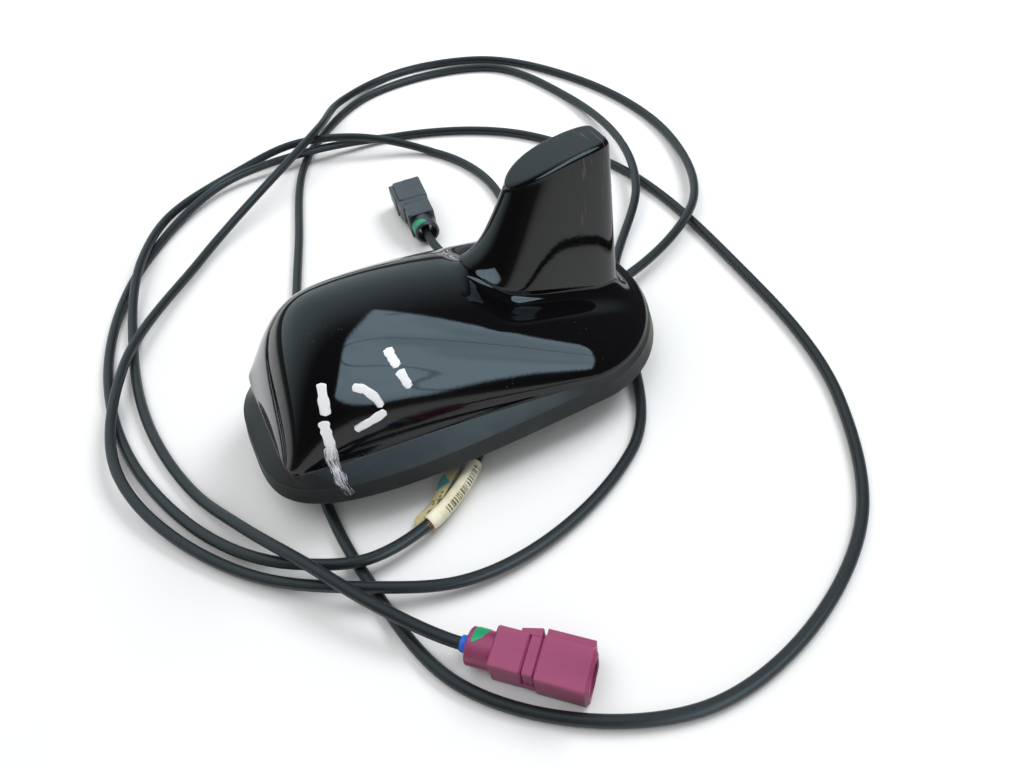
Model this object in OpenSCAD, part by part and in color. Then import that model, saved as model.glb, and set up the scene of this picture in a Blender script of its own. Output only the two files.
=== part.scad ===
// Shark-fin roof antenna with two coax leads, in millimetres.
// +X runs from the nose of the housing to its tail and +Z is up. The origin lies under the
// middle of the housing, on the level where the shank stands and the leads lie.

/* [Gasket] */
// Length of the gasket from nose to tail
gasket_len = 120; // [112:1:130]
// Greatest width of the gasket
gasket_w = 70; // [66:1:76]
// Height of the gasket's rim
gasket_h = 5; // [4:0.5:7]
// How far the gasket's foot reaches past the cover
gasket_flare = 1.2; // [0.6:0.1:1.6]
// Width of the rim under the cover's edge
gasket_rim = 4.2; // [3.6:0.1:4.4]
// Height of the lip that carries the base plate
lip_h = 2; // [1.5:0.1:2.4]
// Width of that lip
lip_w = 4; // [3:0.5:6]
// Depth of the sealing groove under the rim
groove_h = 1; // [0.6:0.1:1.4]

/* [Cover] */
// Wall of the moulded cover
wall = 2; // [1.6:0.1:2.4]
// Height of the skirt band at the nose
skirt_h = 4.6; // [3:0.1:5]
// How far the skirt leans in up to the crease at the nose
skirt_in = 5.3; // [3.5:0.1:6]
// Width of the dome's foot at the crease
crease_w = 66.4; // [64:0.2:67]
// Height of the dome above the crease
dome_h = 31; // [28:1:34]
// Distance of the dome's highest point from the nose
dome_peak = 31; // [26:1:34]
// Outer radius of the screw bosses
boss_r = 3; // [2.6:0.1:3.4]
// Distance of the front bosses from the nose
boss_front = 24; // [22:1:26]
// Distance of the rear bosses from the tail
boss_rear = 24; // [22:1:26]
// Half the spacing of the front bosses
boss_front_y = 19; // [17:1:19]
// Half the spacing of the rear bosses
boss_rear_y = 21; // [20:1:22]

/* [Fin] */
// Length of the fin along its foot
fin_foot_len = 43; // [40:0.5:45]
// Length of the fin along its top
fin_top_len = 28; // [25:0.5:30]
// Distance from the fin's rear edge to the tail
fin_tail_gap = 8.5; // [8:0.5:10]
// Height of the fin's top above the gasket's foot
fin_h = 55.5; // [52:0.5:60]
// Thickness of the fin at its foot
fin_foot_t = 15.5; // [14:0.5:17]
// Thickness of the fin at its top
fin_top_t = 12; // [11:0.5:13]
// Edge radius along the fin's top
fin_edge_r = 1.2; // [0.8:0.1:2]
// How far the top falls to its front end
top_front_drop = 4; // [2.5:0.5:5]
// How far the top falls to the rear edge
top_rear_drop = 3; // [2:0.5:5]
// Reach of the fillet before the fin
fillet_front = 5.5; // [4:0.5:8]
// Reach of the fillet beside the fin
fillet_side = 8; // [6:0.5:9]
// Reach of the fillet behind the fin
fillet_rear = 3.5; // [3:0.5:4]
// Height of the fillet
fillet_h = 5; // [4:0.5:7]

/* [Base plate] */
// Thickness of the base plate
plate_t = 3; // [2.6:0.1:3.4]
// Gap between the base plate and the gasket's rim
plate_gap = 0.4; // [0.3:0.1:0.6]
// Height of the locating rib round the base plate
rib_h = 2; // [1.5:0.1:2.2]
// Thickness of that rib
rib_t = 1.6; // [1.2:0.1:2]
// Distance of the shank from the nose
shank_at = 64; // [62:1:66]
// Outer radius of the shank
shank_r = 9; // [8.5:0.1:9.5]
// Radius of the bore through the shank
shank_bore_r = 6.5; // [6.2:0.1:6.8]
// Height of the shank below the gasket
shank_h = 9; // [8.6:0.2:10]
// Width of the slots through which the leads leave the shank
slot_w = 4; // [3.8:0.1:4.6]
// Height of these slots
slot_h = 4.6; // [4.2:0.1:5.2]
// Radius of the board posts
post_r = 2.4; // [2.2:0.1:2.8]
// Height of the board posts
post_h = 3; // [2.6:0.1:4]

/* [Boards] */
// Thickness of the circuit board
board_t = 1.6; // [1.2:0.1:2]
// Length of the circuit board
board_len = 72; // [68:1:74]
// Width of the circuit board
board_w = 28; // [26:1:29]
// Distance of the circuit board's rear edge from the tail
board_tail_gap = 20; // [19:0.5:24]
// Radius of the board screws
board_screw_r = 1.1; // [1:0.1:1.2]
// Length of the board screws under their heads
board_screw_len = 4.2; // [4:0.1:4.4]
// Radius of the cover screws
cover_screw_r = 1.4; // [1.3:0.1:1.5]
// Length of the cover screws under their heads
cover_screw_len = 8; // [7:0.5:9]
// Thickness of the fin board
fin_board_t = 1; // [0.8:0.1:1.2]
// Gap between the fin board and the cover
fin_board_gap = 1.5; // [1:0.1:2.5]
// Length of the shielding can
can_len = 20; // [18:0.5:21]
// Width of the shielding can
can_w = 18; // [16:0.5:20]
// Height of the shielding can
can_h = 5; // [4:0.5:6]
// Thickness of sheet metal pieces
sheet_t = 0.4; // [0.3:0.1:0.6]
// Length of the phone antenna's top
flag_len = 26; // [24:1:28]
// Width of the phone antenna
flag_w = 22; // [20:1:24]
// Height of the phone antenna above the board
flag_h = 13; // [11:0.5:15]

/* [Leads] */
// Radius of both coax leads
lead_r = 1.5; // [1.4:0.05:1.6]
// Distance of each lead from the shank's middle
lead_off = 2.5; // [2.4:0.1:2.8]
// Bend radius of the leads where they leave the shank
lead_bend = 6.4; // [6.1:0.1:6.5]
// Outer radius of the crimp ferrules under the board
crimp_r = 2.2; // [2.1:0.05:2.3]
// Height of the rubber grommet in the shank
grommet_h = 4; // [3:0.5:5]
// Outer radius of the label sleeve
label_r = 2.5; // [2.2:0.1:3]
// Outer radius of the marker sleeve
marker_r = 2.1; // [1.9:0.1:2.4]
// Length of the marker sleeve
marker_len = 4; // [3:0.5:5]

/* [Plugs] */
// Length of the plug's collar
collar_len = 6; // [5:0.5:7]
// Outer radius of the collar
collar_r = 4.3; // [4.1:0.1:4.5]
// Length of the plug's rear box
rear_len = 7.5; // [7:0.5:9]
// Length of the neck between the boxes
neck_len = 3; // [2.5:0.5:4]
// Length of the front box
front_len = 12; // [11.5:0.5:14]
// Width of the rear box
rear_w = 9.4; // [9.2:0.1:10]
// Width of the front box
front_w = 10.2; // [10:0.1:11]
// Height of the boxes
plug_h = 9.6; // [9.6:0.1:11]
// Radius of the mating bore in the front box
mate_r = 4.1; // [4:0.05:4.2]
// Depth of the mating bore
mate_len = 11; // [10:0.5:12]
// Outer radius of the contact shell
shell_r = 2.6; // [2.5:0.05:2.7]
// Wall of the contact shell
shell_t = 0.4; // [0.3:0.05:0.5]
// Radius of the contact pin
pin_r = 0.5; // [0.4:0.05:0.6]
// Outer radius of the crimp ferrule
ferrule_r = 2.4; // [2.3:0.05:2.5]
// Width of the coding ribs and grooves
code_w = 1.6; // [1.4:0.1:1.8]
// How far the latch and the guide rail stand off the plug
latch_h = 1.6; // [1:0.1:1.8]

/* [Hidden] */
$fn = 48;

// Overrun of cuts
cut = 0.5;
// Clearance of pieces that sit in each other
fit = 0.1;
// Points round the housing's outlines
around = 72;
// Sides of a lead's plain tube
lead_sides = 8;
// Longest stretch of lead between two rings
lead_step = 46;

// Levels
foot_z = shank_h;
rim_z = foot_z + gasket_h;
plate_z = foot_z + lip_h;
plate_top = plate_z + plate_t;
board_z = plate_top + post_h;
board_top = board_z + board_t;

// Stations along the housing
nose_x = -gasket_len / 2;
tail_x = gasket_len / 2;
wide_share = 0.742;
nose_len = gasket_len * wide_share;
tail_len = gasket_len - nose_len;
wide_x = nose_x + nose_len;
shank_x = nose_x + shank_at;
peak_x = nose_x + dome_peak;
fin_rear_x = tail_x - fin_tail_gap;
fin_front_x = fin_rear_x - fin_foot_len;
top_front_x = fin_rear_x - fin_top_len;
top_peak_share = 0.16;
top_peak_x = fin_rear_x - fin_top_len * top_peak_share;
fin_wide_share = 0.55;

// Powers of the outlines and of the crown
nose_power = 3.54;
tail_power = 2.04;
taper_share = 0.062;
crease_power = 18;
crease_taper_share = 0.381;
rise_power = 2.28;
fall_power = 1.56;
nose_flank_power = 2.2;
flank_power = 1.59;
top_front_power = 2.5;
top_rear_power = 9;
lean_power = 1.18;
fin_nose_power = 2.2;
fin_tail_power = 4;

// Skirt
rim_in = gasket_flare;
fade_from_share = 0.3;
fade_to_share = 0.25;
crease_tail_share = 0.115;
crease_nose_in = rim_in + skirt_in;
crease_tail_in = rim_in + skirt_in * crease_tail_share;
tail_wall_share = 2.1;

// Rings of the cover
dome_rings = 12;
dome_spread = 1.5;
fillet_rings = 4;
fin_rings = 5;
edge_rings = 3;
inner_dome_rings = 8;
inner_fin_rings = 3;

// Shape functions of the housing, seen from above: phi is 0 at the tail and 180 at the nose
function ease(t) = t <= 0 ? 0 : t >= 1 ? 1 : t * t * (3 - 2 * t);
function reach(phi, p) = pow(pow(abs(cos(phi)), p) + pow(abs(sin(phi)), p), -1 / p);
function power_at(phi, front, rear) = cos(phi) < 0 ? front : rear;
function taper(x) = 1 + taper_share * (x - wide_x) / nose_len;
function plan_x(phi, inset) =
    wide_x + ((cos(phi) < 0 ? nose_len : tail_len) - inset) * cos(phi)
    * reach(phi, power_at(phi, nose_power, tail_power));
function plan_y(phi, inset) =
    (gasket_w / 2 - inset) * taper(plan_x(phi, inset)) * sin(phi)
    * reach(phi, power_at(phi, nose_power, tail_power));
function plan_at(phi, inset, z) = [plan_x(phi, inset), plan_y(phi, inset), z];

// The skirt band fades from the nose to the tail
function fade(x) = 1 - (1 - fade_to_share) * ease(((x - nose_x) / gasket_len - fade_from_share) / (1 - fade_from_share));
function crease_z(x) = rim_z + skirt_h * fade(x);

// The crease has its own outline, square across the nose and narrower towards it than the rim
function crease_len(front, skin) = (front ? nose_len - crease_nose_in : tail_len - crease_tail_in) - skin;
function crease_half(x, skin) =
    (crease_w / 2 - skin) * (1 + crease_taper_share * min(x - wide_x, 0) / nose_len);
function crease_at(phi, skin) =
    let (r = reach(phi, power_at(phi, crease_power, tail_power)),
         x = wide_x + crease_len(cos(phi) < 0, skin) * cos(phi) * r)
    [x, crease_half(x, skin) * sin(phi) * r, crease_z(x)];
function half_w(x, skin) =
    let (p = x < wide_x ? crease_power : tail_power,
         q = min(abs(x - wide_x) / crease_len(x < wide_x, skin), 1))
    crease_half(x, skin) * pow(1 - pow(q, p), 1 / p);

// Height of the dome over any place; skin is 0 outside and the wall inside
function crown(x, skin) =
    let (lo = nose_x + crease_nose_in + skin,
         hi = tail_x - crease_tail_in - skin * tail_wall_share,
         s = x < peak_x ? (peak_x - x) / (peak_x - lo) : (x - peak_x) / (hi - peak_x))
    (dome_h - skin) * (1 - pow(min(max(s, 0), 1), x < peak_x ? rise_power : fall_power));
function flank_at(x) =
    nose_flank_power + (flank_power - nose_flank_power) * ease((x - nose_x) / (peak_x - nose_x));
function dome_z(x, y, skin) =
    let (w = half_w(x, skin),
         u = w > 0 ? min(abs(y) / w, 1) : 1)
    crease_z(x) + crown(x, skin) * pow(1 - u * u, 1 / flank_at(x));

// Outline of the fin between two stations, at a half thickness
function fin_at(phi, front, rear, half) =
    let (mid = front + (rear - front) * fin_wide_share,
         r = reach(phi, power_at(phi, fin_nose_power, fin_tail_power)))
    [mid + (cos(phi) < 0 ? mid - front : rear - mid) * cos(phi) * r, half * sin(phi) * r];
function fin_top_z(x) =
    let (front = top_peak_x - top_front_x, rear = fin_rear_x - top_peak_x)
    foot_z + fin_h - (
        x > top_peak_x ? top_rear_drop * pow((x - top_peak_x) / rear, top_rear_power) :
        x > top_front_x ? top_front_drop * pow((top_peak_x - x) / front, top_front_power) :
        top_front_drop * (1 + top_front_power * (top_front_x - x) / front));
function lean_x(level) = fin_front_x + (top_front_x - fin_front_x) * pow(level, lean_power);

// A ring of the dome, share 0 at the crease and 1 at the foot of the fillet
function dome_ring(share, skin) =
    [for (k = [0:around - 1])
        let (phi = 360 * k / around,
             a = crease_at(phi, skin),
             b = fin_at(phi, fin_front_x - fillet_front, fin_rear_x + fillet_rear, fin_foot_t / 2 + fillet_side),
             x = a.x + (b.x - a.x) * share,
             y = a.y + (b.y - a.y) * share)
        [x, y, share == 0 ? a.z : dome_z(x, y, skin)]];

// A ring of the fillet, turn 0 on the dome and 90 at the fin
function fillet_ring(turn, skin) =
    [for (k = [0:around - 1])
        let (phi = 360 * k / around,
             out = 1 - sin(turn),
             p = fin_at(phi, fin_front_x + skin - (fillet_front + skin) * out,
                 fin_rear_x - skin + (fillet_rear + skin) * out,
                 fin_foot_t / 2 - skin + (fillet_side + skin) * out))
        [p.x, p.y, dome_z(p.x, p.y, skin) + (fillet_h + skin) * (1 - cos(turn))]];

// A ring of the fin, level 0 at the fillet and 1 at the top; edge turns over the top edge
function fin_ring(level, edge, skin) =
    let (r = skin > 0 ? 0 : fin_edge_r,
         back = r * (1 - cos(edge)),
         down = skin + r * (1 - sin(edge)),
         front = lean_x(level) + skin + back,
         rear = fin_rear_x - skin - back,
         half = (fin_foot_t + (fin_top_t - fin_foot_t) * level) / 2 - skin - back)
    [for (k = [0:around - 1])
        let (p = fin_at(360 * k / around, front, rear, half),
             low = dome_z(p.x, p.y, skin) + fillet_h + skin)
        [p.x, p.y, low + (fin_top_z(p.x) - down - low) * level]];

function flat_ring(inset, z) = [for (k = [0:around - 1]) plan_at(360 * k / around, inset, z)];

// Joins rings of equal count into one closed skin
module loft(rings, closed = false) {
    n = len(rings[0]);
    m = len(rings);
    last = (m - 1) * n;
    sides = [for (r = [0:closed ? m - 1 : m - 2], j = [0:n - 1])
        let (a = r * n, b = ((r + 1) % m) * n, k = (j + 1) % n) [a + j, a + k, b + k, b + j]];
    first_cap = [for (j = [0:n / 2 - 1])
        j == 0 ? [0, n - 1, 1] : j == n / 2 - 1 ? [j, n - j, j + 1] : [j, n - j, n - j - 1, j + 1]];
    last_cap = [for (f = first_cap) [for (i = [len(f) - 1:-1:0]) last + f[i]]];
    polyhedron(points = [for (r = rings, p = r) p],
        faces = closed ? sides : concat(sides, first_cap, last_cap), convexity = 8);
}

// Route of a lead
function lengths(p) = [for (i = [1:len(p) - 1]) norm(p[i] - p[i - 1])];
function heading(p, h, i) =
    i == 0 ? (p[1] - p[0]) / h[0] :
    i == len(p) - 1 ? (p[i] - p[i - 1]) / h[i - 1] :
    (h[i - 1] * (p[i + 1] - p[i]) / h[i] + h[i] * (p[i] - p[i - 1]) / h[i - 1]) / (h[i - 1] + h[i]);
function between(p, h, i, t) =
    (2 * t * t * t - 3 * t * t + 1) * p[i] + (t * t * t - 2 * t * t + t) * h[i] * heading(p, h, i)
    + (3 * t * t - 2 * t * t * t) * p[i + 1] + (t * t * t - t * t) * h[i] * heading(p, h, i + 1);
function lifted(q) = [q.x, q.y, max(q.z, lead_r)];
function smooth_route(p) =
    let (h = lengths(p))
    concat([for (i = [0:len(p) - 2])
        let (n = ceil(h[i] / lead_step))
        for (j = [0:n - 1]) lifted(between(p, h, i, j / n))], [p[len(p) - 1]]);
function unit(v) = v / norm(v);
function way(c, i) = unit(c[min(i + 1, len(c) - 1)] - c[max(i - 1, 0)]);
function side_of(t, turn) = norm([t.x, t.y]) < 0.001 ? [turn, 0, 0] : unit([t.y, -t.x, 0]);
function tube_rings(c, r, n, turn) =
    [for (i = [0:len(c) - 1])
        let (t = way(c, i), e1 = side_of(t, turn), e2 = cross(e1, t))
        [for (k = [0:n - 1])
            let (a = 360 * (k + 0.5) / n)
            c[i] + r * (cos(a) * e1 + sin(a) * e2)]];

// Down the shank and round the bend to the slot, on the side given by its sign
bend_turns = [0, 30, 60, 90];
function outlet(side) = concat(
    [[shank_x, side * lead_off, board_z - fit]],
    [for (a = bend_turns)
        [shank_x, side * (lead_off + lead_bend * (1 - cos(a))), lead_r + lead_bend * (1 - sin(a))]]);

// The radio lead's way on the table, from its label to its plug
radio_way = [[-9, -30, 2.5], [-26, -41, 4], [-44, -43, 4.7], [-60, -35, 4.6], [-91, 15, 1.5], [-94, 65, 1.5],
    [-71, 117, 1.5], [-34, 143, 3.6], [-1, 141, 4.6], [34, 134, 1.5], [74, 107, 1.5], [94, 67, 1.5],
    [97, -3, 1.5], [85, -64, 1.5], [65, -93, 1.5], [6, -111, 1.5], [-38, -80, 1.5], [-47, -43, 1.5],
    [-22, 89, 1.5], [4, 149, 1.5], [36, 172, 1.5], [93, 157, 1.5], [105, 121, 1.5], [91, 43, 5.2],
    [64, 15, 1.5], [29, -48, 1.5], [-28, -59, 3.2], [-47, -50, 4.8], [-72, -30, 2.4], [-97, 24, 4.6],
    [-88, 61, 4.8], [-54, 102, 3], [8, 146, 10.3], [24, 171, 4], [47, 182, 1.5], [89, 170, 1.5],
    [116, 127, 1.5], [122, 67, 2], [103, 26, 4.6], [40, 8, 4.8]];
// The phone lead's way on the table
phone_way = [[24, 30, 1.5], [48, 60, 1.5], [52, 84, 1.5], [43, 113, 1.5], [18, 134, 7.6], [-6, 147, 6.5],
    [-30, 149, 2.4], [-61, 132, 4], [-73, 112, 5.1], [-85, 70, 1.5], [-86, 32, 1.5], [-79, 2, 2],
    [-70, -17, 5.4], [-57, -40, 8.5], [-48, -55, 7.4]];

// Where each plug lies: the back of its collar and its heading
phone_plug_at = [-32, -75];
phone_plug_turn = -45;
radio_plug_at = [19, 64];
radio_plug_turn = 82;
plug_z = plug_h / 2;
crimp_share = 0.6;
plug_len = collar_len + rear_len + neck_len + front_len;
function plug_point(at, turn, along) = [at.x + along * cos(turn), at.y + along * sin(turn), plug_z];

// The leads end inside the plugs' ferrules
lead_in = collar_len + rear_len / 2;
radio_route = concat(outlet(-1), radio_way,
    [plug_point(radio_plug_at, radio_plug_turn, -marker_len), plug_point(radio_plug_at, radio_plug_turn, lead_in)]);
phone_route = concat(outlet(1), phone_way,
    [plug_point(phone_plug_at, phone_plug_turn, -marker_len), plug_point(phone_plug_at, phone_plug_turn, lead_in)]);

// Cover: one lofted shell with its wall, and four bosses standing against it
module cover_shell() {
    outer = concat(
        [for (j = [edge_rings:-1:1]) fin_ring(1, 90 * j / edge_rings, 0)],
        [for (j = [fin_rings:-1:1]) fin_ring(j / fin_rings, 0, 0)],
        [for (j = [fillet_rings:-1:1]) fillet_ring(90 * j / fillet_rings, 0)],
        [for (j = [dome_rings:-1:0]) dome_ring(pow(j / dome_rings, dome_spread), 0)],
        [flat_ring(rim_in, rim_z)]);
    inner = concat(
        [flat_ring(rim_in + wall, rim_z)],
        [for (j = [0:inner_dome_rings]) dome_ring(pow(j / inner_dome_rings, dome_spread), wall)],
        [for (j = [1:fillet_rings]) fillet_ring(90 * j / fillet_rings, wall)],
        [for (j = [1:inner_fin_rings]) fin_ring(j / inner_fin_rings, 0, wall)]);
    loft(concat(outer, inner));
}

boss_places = [for (s = [-1, 1]) each [[nose_x + boss_front, s * boss_front_y], [tail_x - boss_rear, s * boss_rear_y]]];
boss_sides = 16;

module boss(at) {
    // The boss runs up into the wall at its outer side
    top = dome_z(at.x, abs(at.y) + boss_r, 0) - wall / 2;
    translate([at.x, at.y, plate_top])
        difference() {
            cylinder(r = boss_r, h = top - plate_top, $fn = boss_sides);
            translate([0, 0, -cut])
                cylinder(r = cover_screw_r + fit, h = cover_screw_len + cut, $fn = boss_sides);
        }
}

module cover() {
    color("#101012") {
        cover_shell();
        for (p = boss_places)
            boss(p);
    }
}

// Gasket: rim under the cover, lip under the base plate and a sealing groove below
module gasket() {
    inner = rim_in + gasket_rim;
    color("#2b2b28")
        loft([flat_ring(rim_in, rim_z), flat_ring(0, foot_z), flat_ring(gasket_flare, foot_z),
            flat_ring(gasket_flare + groove_h / 2, foot_z + groove_h),
            flat_ring(gasket_flare + groove_h, foot_z), flat_ring(inner + lip_w, foot_z),
            flat_ring(inner + lip_w, plate_z), flat_ring(inner, plate_z), flat_ring(inner, rim_z)], closed = true);
}

plate_in = rim_in + gasket_rim + plate_gap;
board_rear_x = tail_x - board_tail_gap;
board_front_x = board_rear_x - board_len;
post_in = 4;
post_places = [for (s = [-1, 1]) each [[board_front_x + post_in, s * (board_w / 2 - post_in)],
    [board_rear_x - post_in, s * (board_w / 2 - post_in)]]];
head_r = 2.8;
head_h = 1.5;

module outline_slab(inset, z, h) {
    translate([0, 0, z])
        linear_extrude(h)
            polygon([for (k = [0:around - 1]) [plan_x(360 * k / around, inset), plan_y(360 * k / around, inset)]]);
}

// Base plate: die-cast, with rib, posts and the hollow shank
module base_plate() {
    color("#9a9c9e")
        difference() {
            union() {
                outline_slab(plate_in, plate_z, plate_t);
                difference() {
                    outline_slab(plate_in, plate_top, rib_h);
                    outline_slab(plate_in + rib_t, plate_top - cut, rib_h + 2 * cut);
                }
                translate([shank_x, 0, 0])
                    cylinder(r = shank_r, h = plate_z + cut);
                for (p = post_places)
                    translate([p.x, p.y, plate_top - cut])
                        cylinder(r = post_r, h = post_h + cut);
            }
            translate([shank_x, 0, -cut])
                cylinder(r = shank_bore_r, h = plate_top + 2 * cut);
            for (s = [-1, 1])
                translate([shank_x - slot_w / 2, s > 0 ? 0 : -shank_r - cut, -cut])
                    cube([slot_w, shank_r + cut, slot_h + cut]);
            for (p = boss_places)
                translate([p.x, p.y, 0]) {
                    cylinder(r = cover_screw_r + fit, h = plate_top + cut);
                    cylinder(r = head_r + fit, h = plate_z + head_h);
                    // The boss takes the rib's place
                    translate([0, 0, plate_top])
                        cylinder(r = boss_r + fit, h = rib_h + cut);
                }
            for (p = post_places)
                translate([p.x, p.y, board_top - board_screw_len - fit])
                    cylinder(r = board_screw_r + fit, h = board_screw_len + cut);
        }
}

// Grommet: rubber plug in the shank with a hole for each lead
module outlet_grommet() {
    color("#1d1d1f")
        translate([shank_x, 0, foot_z])
            difference() {
                cylinder(r = shank_bore_r - fit / 2, h = grommet_h);
                for (s = [-1, 1])
                    translate([0, s * lead_off, -cut])
                        cylinder(r = lead_r + fit, h = grommet_h + 2 * cut);
            }
}

module screw(r, len, head, head_len) {
    cylinder(r = r, h = len);
    translate([0, 0, -head_len])
        difference() {
            cylinder(r = head, h = head_len);
            translate([0, 0, -cut])
                cylinder(r = head / 2, h = head_len / 2 + cut, $fn = 6);
        }
}

module cover_screws() {
    color("#b9bbbd")
        for (p = boss_places)
            translate([p.x, p.y, plate_z + head_h])
                screw(cover_screw_r, cover_screw_len, head_r, head_h);
}

board_head_r = 2;
board_head_h = 1.2;

module board_screws() {
    color("#c9cbcc")
        for (p = post_places)
            translate([p.x, p.y, board_top])
                rotate([180, 0, 0])
                    screw(board_screw_r, board_screw_len, board_head_r, board_head_h);
}

board_corner = 3;

module circuit_board() {
    color("#1f6b3a")
        translate([0, 0, board_z])
            difference() {
                translate([board_front_x, -board_w / 2, 0])
                    linear_extrude(board_t)
                        translate([board_corner, board_corner])
                            offset(r = board_corner)
                                square([board_len - 2 * board_corner, board_w - 2 * board_corner]);
                for (p = post_places)
                    translate([p.x, p.y, -cut])
                        cylinder(r = board_screw_r + fit, h = board_t + 2 * cut);
            }
}

can_x = board_front_x + 9;
vent_r = 0.8;
vent_pitch = 4;

// Shielding can: folded sheet, open below, with vent holes
module shield_can() {
    color("#c4c6c8")
        difference() {
            translate([can_x, -can_w / 2, board_top])
                cube([can_len, can_w, can_h]);
            translate([can_x + sheet_t, sheet_t - can_w / 2, board_top - cut])
                cube([can_len - 2 * sheet_t, can_w - 2 * sheet_t, can_h - sheet_t + cut]);
            for (i = [-1:1], j = [-1:1])
                translate([can_x + can_len / 2 + i * vent_pitch, j * vent_pitch, board_top + can_h / 2])
                    cylinder(r = vent_r, h = can_h, $fn = 16);
        }
}

chip_l = 5;
chip_t = 1.4;
small_l = 2.4;
coil_r = 2;
coil_h = 3;
parts_x = can_x + can_len + 3;

// Large parts on the board: two chips, two coils and a row of capacitors
module board_parts() {
    color("#26262a")
        translate([0, 0, board_top]) {
            for (s = [-1, 1]) {
                translate([parts_x, s * chip_l - chip_l / 2, 0])
                    cube([chip_l, chip_l, chip_t]);
                translate([parts_x + 2 * chip_l, s * chip_l, 0])
                    cylinder(r = coil_r, h = coil_h);
                for (i = [0:2])
                    translate([parts_x + i * 1.6 * small_l, s * 2 * chip_l - small_l / 2, 0])
                        cube([small_l, small_l / 2, small_l / 2]);
            }
        }
}

crimp_h = 2.2;

// Crimp ferrules that hold the leads' ends under the board
module coax_crimps() {
    color("#c0a050")
        for (s = [-1, 1])
            translate([shank_x, s * lead_off, board_z - crimp_h])
                difference() {
                    cylinder(r = crimp_r, h = crimp_h);
                    translate([0, 0, -cut])
                        cylinder(r = lead_r + fit, h = crimp_h + 2 * cut);
                }
}

// Fin board: upright board that fills the fin's hollow
fin_board_steps = 6;
front_levels = [0, 0.5, 1];
// A place on the fin's front edge, level 0 at the fillet and 1 at the top
function front_edge(level) =
    let (x = lean_x(level),
         low = dome_z(x, 0, 0) + fillet_h)
    [x, low + (fin_top_z(x) - low) * level];
module fin_board() {
    gap = wall + fin_board_gap;
    front = [for (level = front_levels) front_edge(level) + [gap, -gap]];
    rear = fin_rear_x - gap;
    top = [for (i = [1:fin_board_steps])
        let (x = front[len(front) - 1].x + (rear - front[len(front) - 1].x) * i / fin_board_steps)
        [x, fin_top_z(x) - gap]];
    color("#20703e")
        translate([0, fin_board_t / 2, 0])
            rotate([90, 0, 0])
                linear_extrude(fin_board_t)
                    polygon(concat([[front[0].x + fillet_front / 2, board_top]], front, top,
                        [[rear, board_top + 2 * post_h], [board_rear_x - post_in, board_top]]));
}

spring_w = 3;
spring_h = 4;
spring_run = 5;

// Contact spring: bent leaf from the circuit board to the fin board
module contact_spring() {
    foot = fin_front_x + wall + fin_board_gap + fillet_front / 2;
    color("#c8a23c")
        translate([foot, spring_w / 2, board_top])
            rotate([90, 0, 0])
                linear_extrude(spring_w)
                    polygon([[-spring_run, 0], [-spring_run / 4, 0], [-spring_run / 4, sheet_t],
                        [-spring_run + sheet_t, sheet_t], [-sheet_t, spring_h - sheet_t],
                        [-fit, spring_h - sheet_t], [-fit, spring_h], [-2 * sheet_t, spring_h],
                        [-spring_run - sheet_t, sheet_t]]);
}

slit_w = 1.2;
slit_share = 0.7;

// Phone antenna: sheet bent to a table on two legs over the shielding can, with slits
module phone_antenna() {
    front = can_x - (flag_len - can_len) / 2;
    color("#c9ab6a")
        difference() {
            translate([front, -flag_w / 2, board_top])
                cube([flag_len, flag_w, flag_h]);
            translate([front + sheet_t, -flag_w / 2 - cut, board_top - cut])
                cube([flag_len - 2 * sheet_t, flag_w + 2 * cut, flag_h - sheet_t + cut]);
            for (s = [-1, 1])
                translate([front + flag_len / 2 + s * flag_len / 5 - slit_w / 2,
                    s > 0 ? -flag_w / 2 - cut : flag_w / 2 - flag_w * slit_share, board_top + flag_h / 2])
                    cube([slit_w, flag_w * slit_share + cut, flag_h]);
        }
}

module lead(route, turn) {
    loft(tube_rings(smooth_route(route), lead_r, lead_sides, turn));
}

module radio_cable() {
    color("#17191b") lead(radio_route, -1);
}

module phone_cable() {
    color("#17191b") lead(phone_route, 1);
}

label_sides = 16;
flag_gap = 0.3;
flap_len = 13;
flap_w = 6;

// Label: sleeve round the radio lead with a folded end that stands off it
module cable_label() {
    a = radio_way[0];
    b = radio_way[1];
    d = b - a;
    color("#e4dcc0")
        translate(a)
            rotate([0, 90 - atan2(d.z, norm([d.x, d.y])), atan2(d.y, d.x)])
                difference() {
                    union() {
                        cylinder(r = label_r, h = norm(d));
                        translate([-sheet_t / 2, 0, norm(d) - flap_len])
                            cube([sheet_t, label_r + flap_w, flap_len]);
                    }
                    translate([0, 0, -cut])
                        cylinder(r = lead_r + flag_gap, h = norm(d) + 2 * cut);
                }
}

// Moves a plug's pieces from their own frame, back of the collar at 0 and front along +X
module seat(at, turn) {
    translate([at.x, at.y, plug_z])
        rotate([0, 0, turn])
            children();
}

module along_x(at) {
    translate([at, 0, 0])
        rotate([0, 90, 0])
            children();
}

module marker_sleeve() {
    color("#2a5fc0")
        seat(phone_plug_at, phone_plug_turn)
            along_x(-marker_len)
                difference() {
                    cylinder(r = marker_r, h = marker_len);
                    translate([0, 0, -cut])
                        cylinder(r = lead_r + fit, h = marker_len + 2 * cut);
                }
}

rear_x = collar_len;
neck_x = rear_x + rear_len;
front_x = neck_x + neck_len;
neck_step = 0.8;
plug_edge = 0.8;
lock_t = 2;
lock_at = 1.5;
lock_w = 3.6;
rail_w = 2;

// A box with eased long edges, from x on
module eased_box(x, len, w, h) {
    along_x(x)
        linear_extrude(len)
            polygon([[-h / 2, -w / 2 + plug_edge], [-h / 2 + plug_edge, -w / 2], [h / 2 - plug_edge, -w / 2],
                [h / 2, -w / 2 + plug_edge], [h / 2, w / 2 - plug_edge], [h / 2 - plug_edge, w / 2],
                [-h / 2 + plug_edge, w / 2], [-h / 2, w / 2 - plug_edge]]);
}

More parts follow.
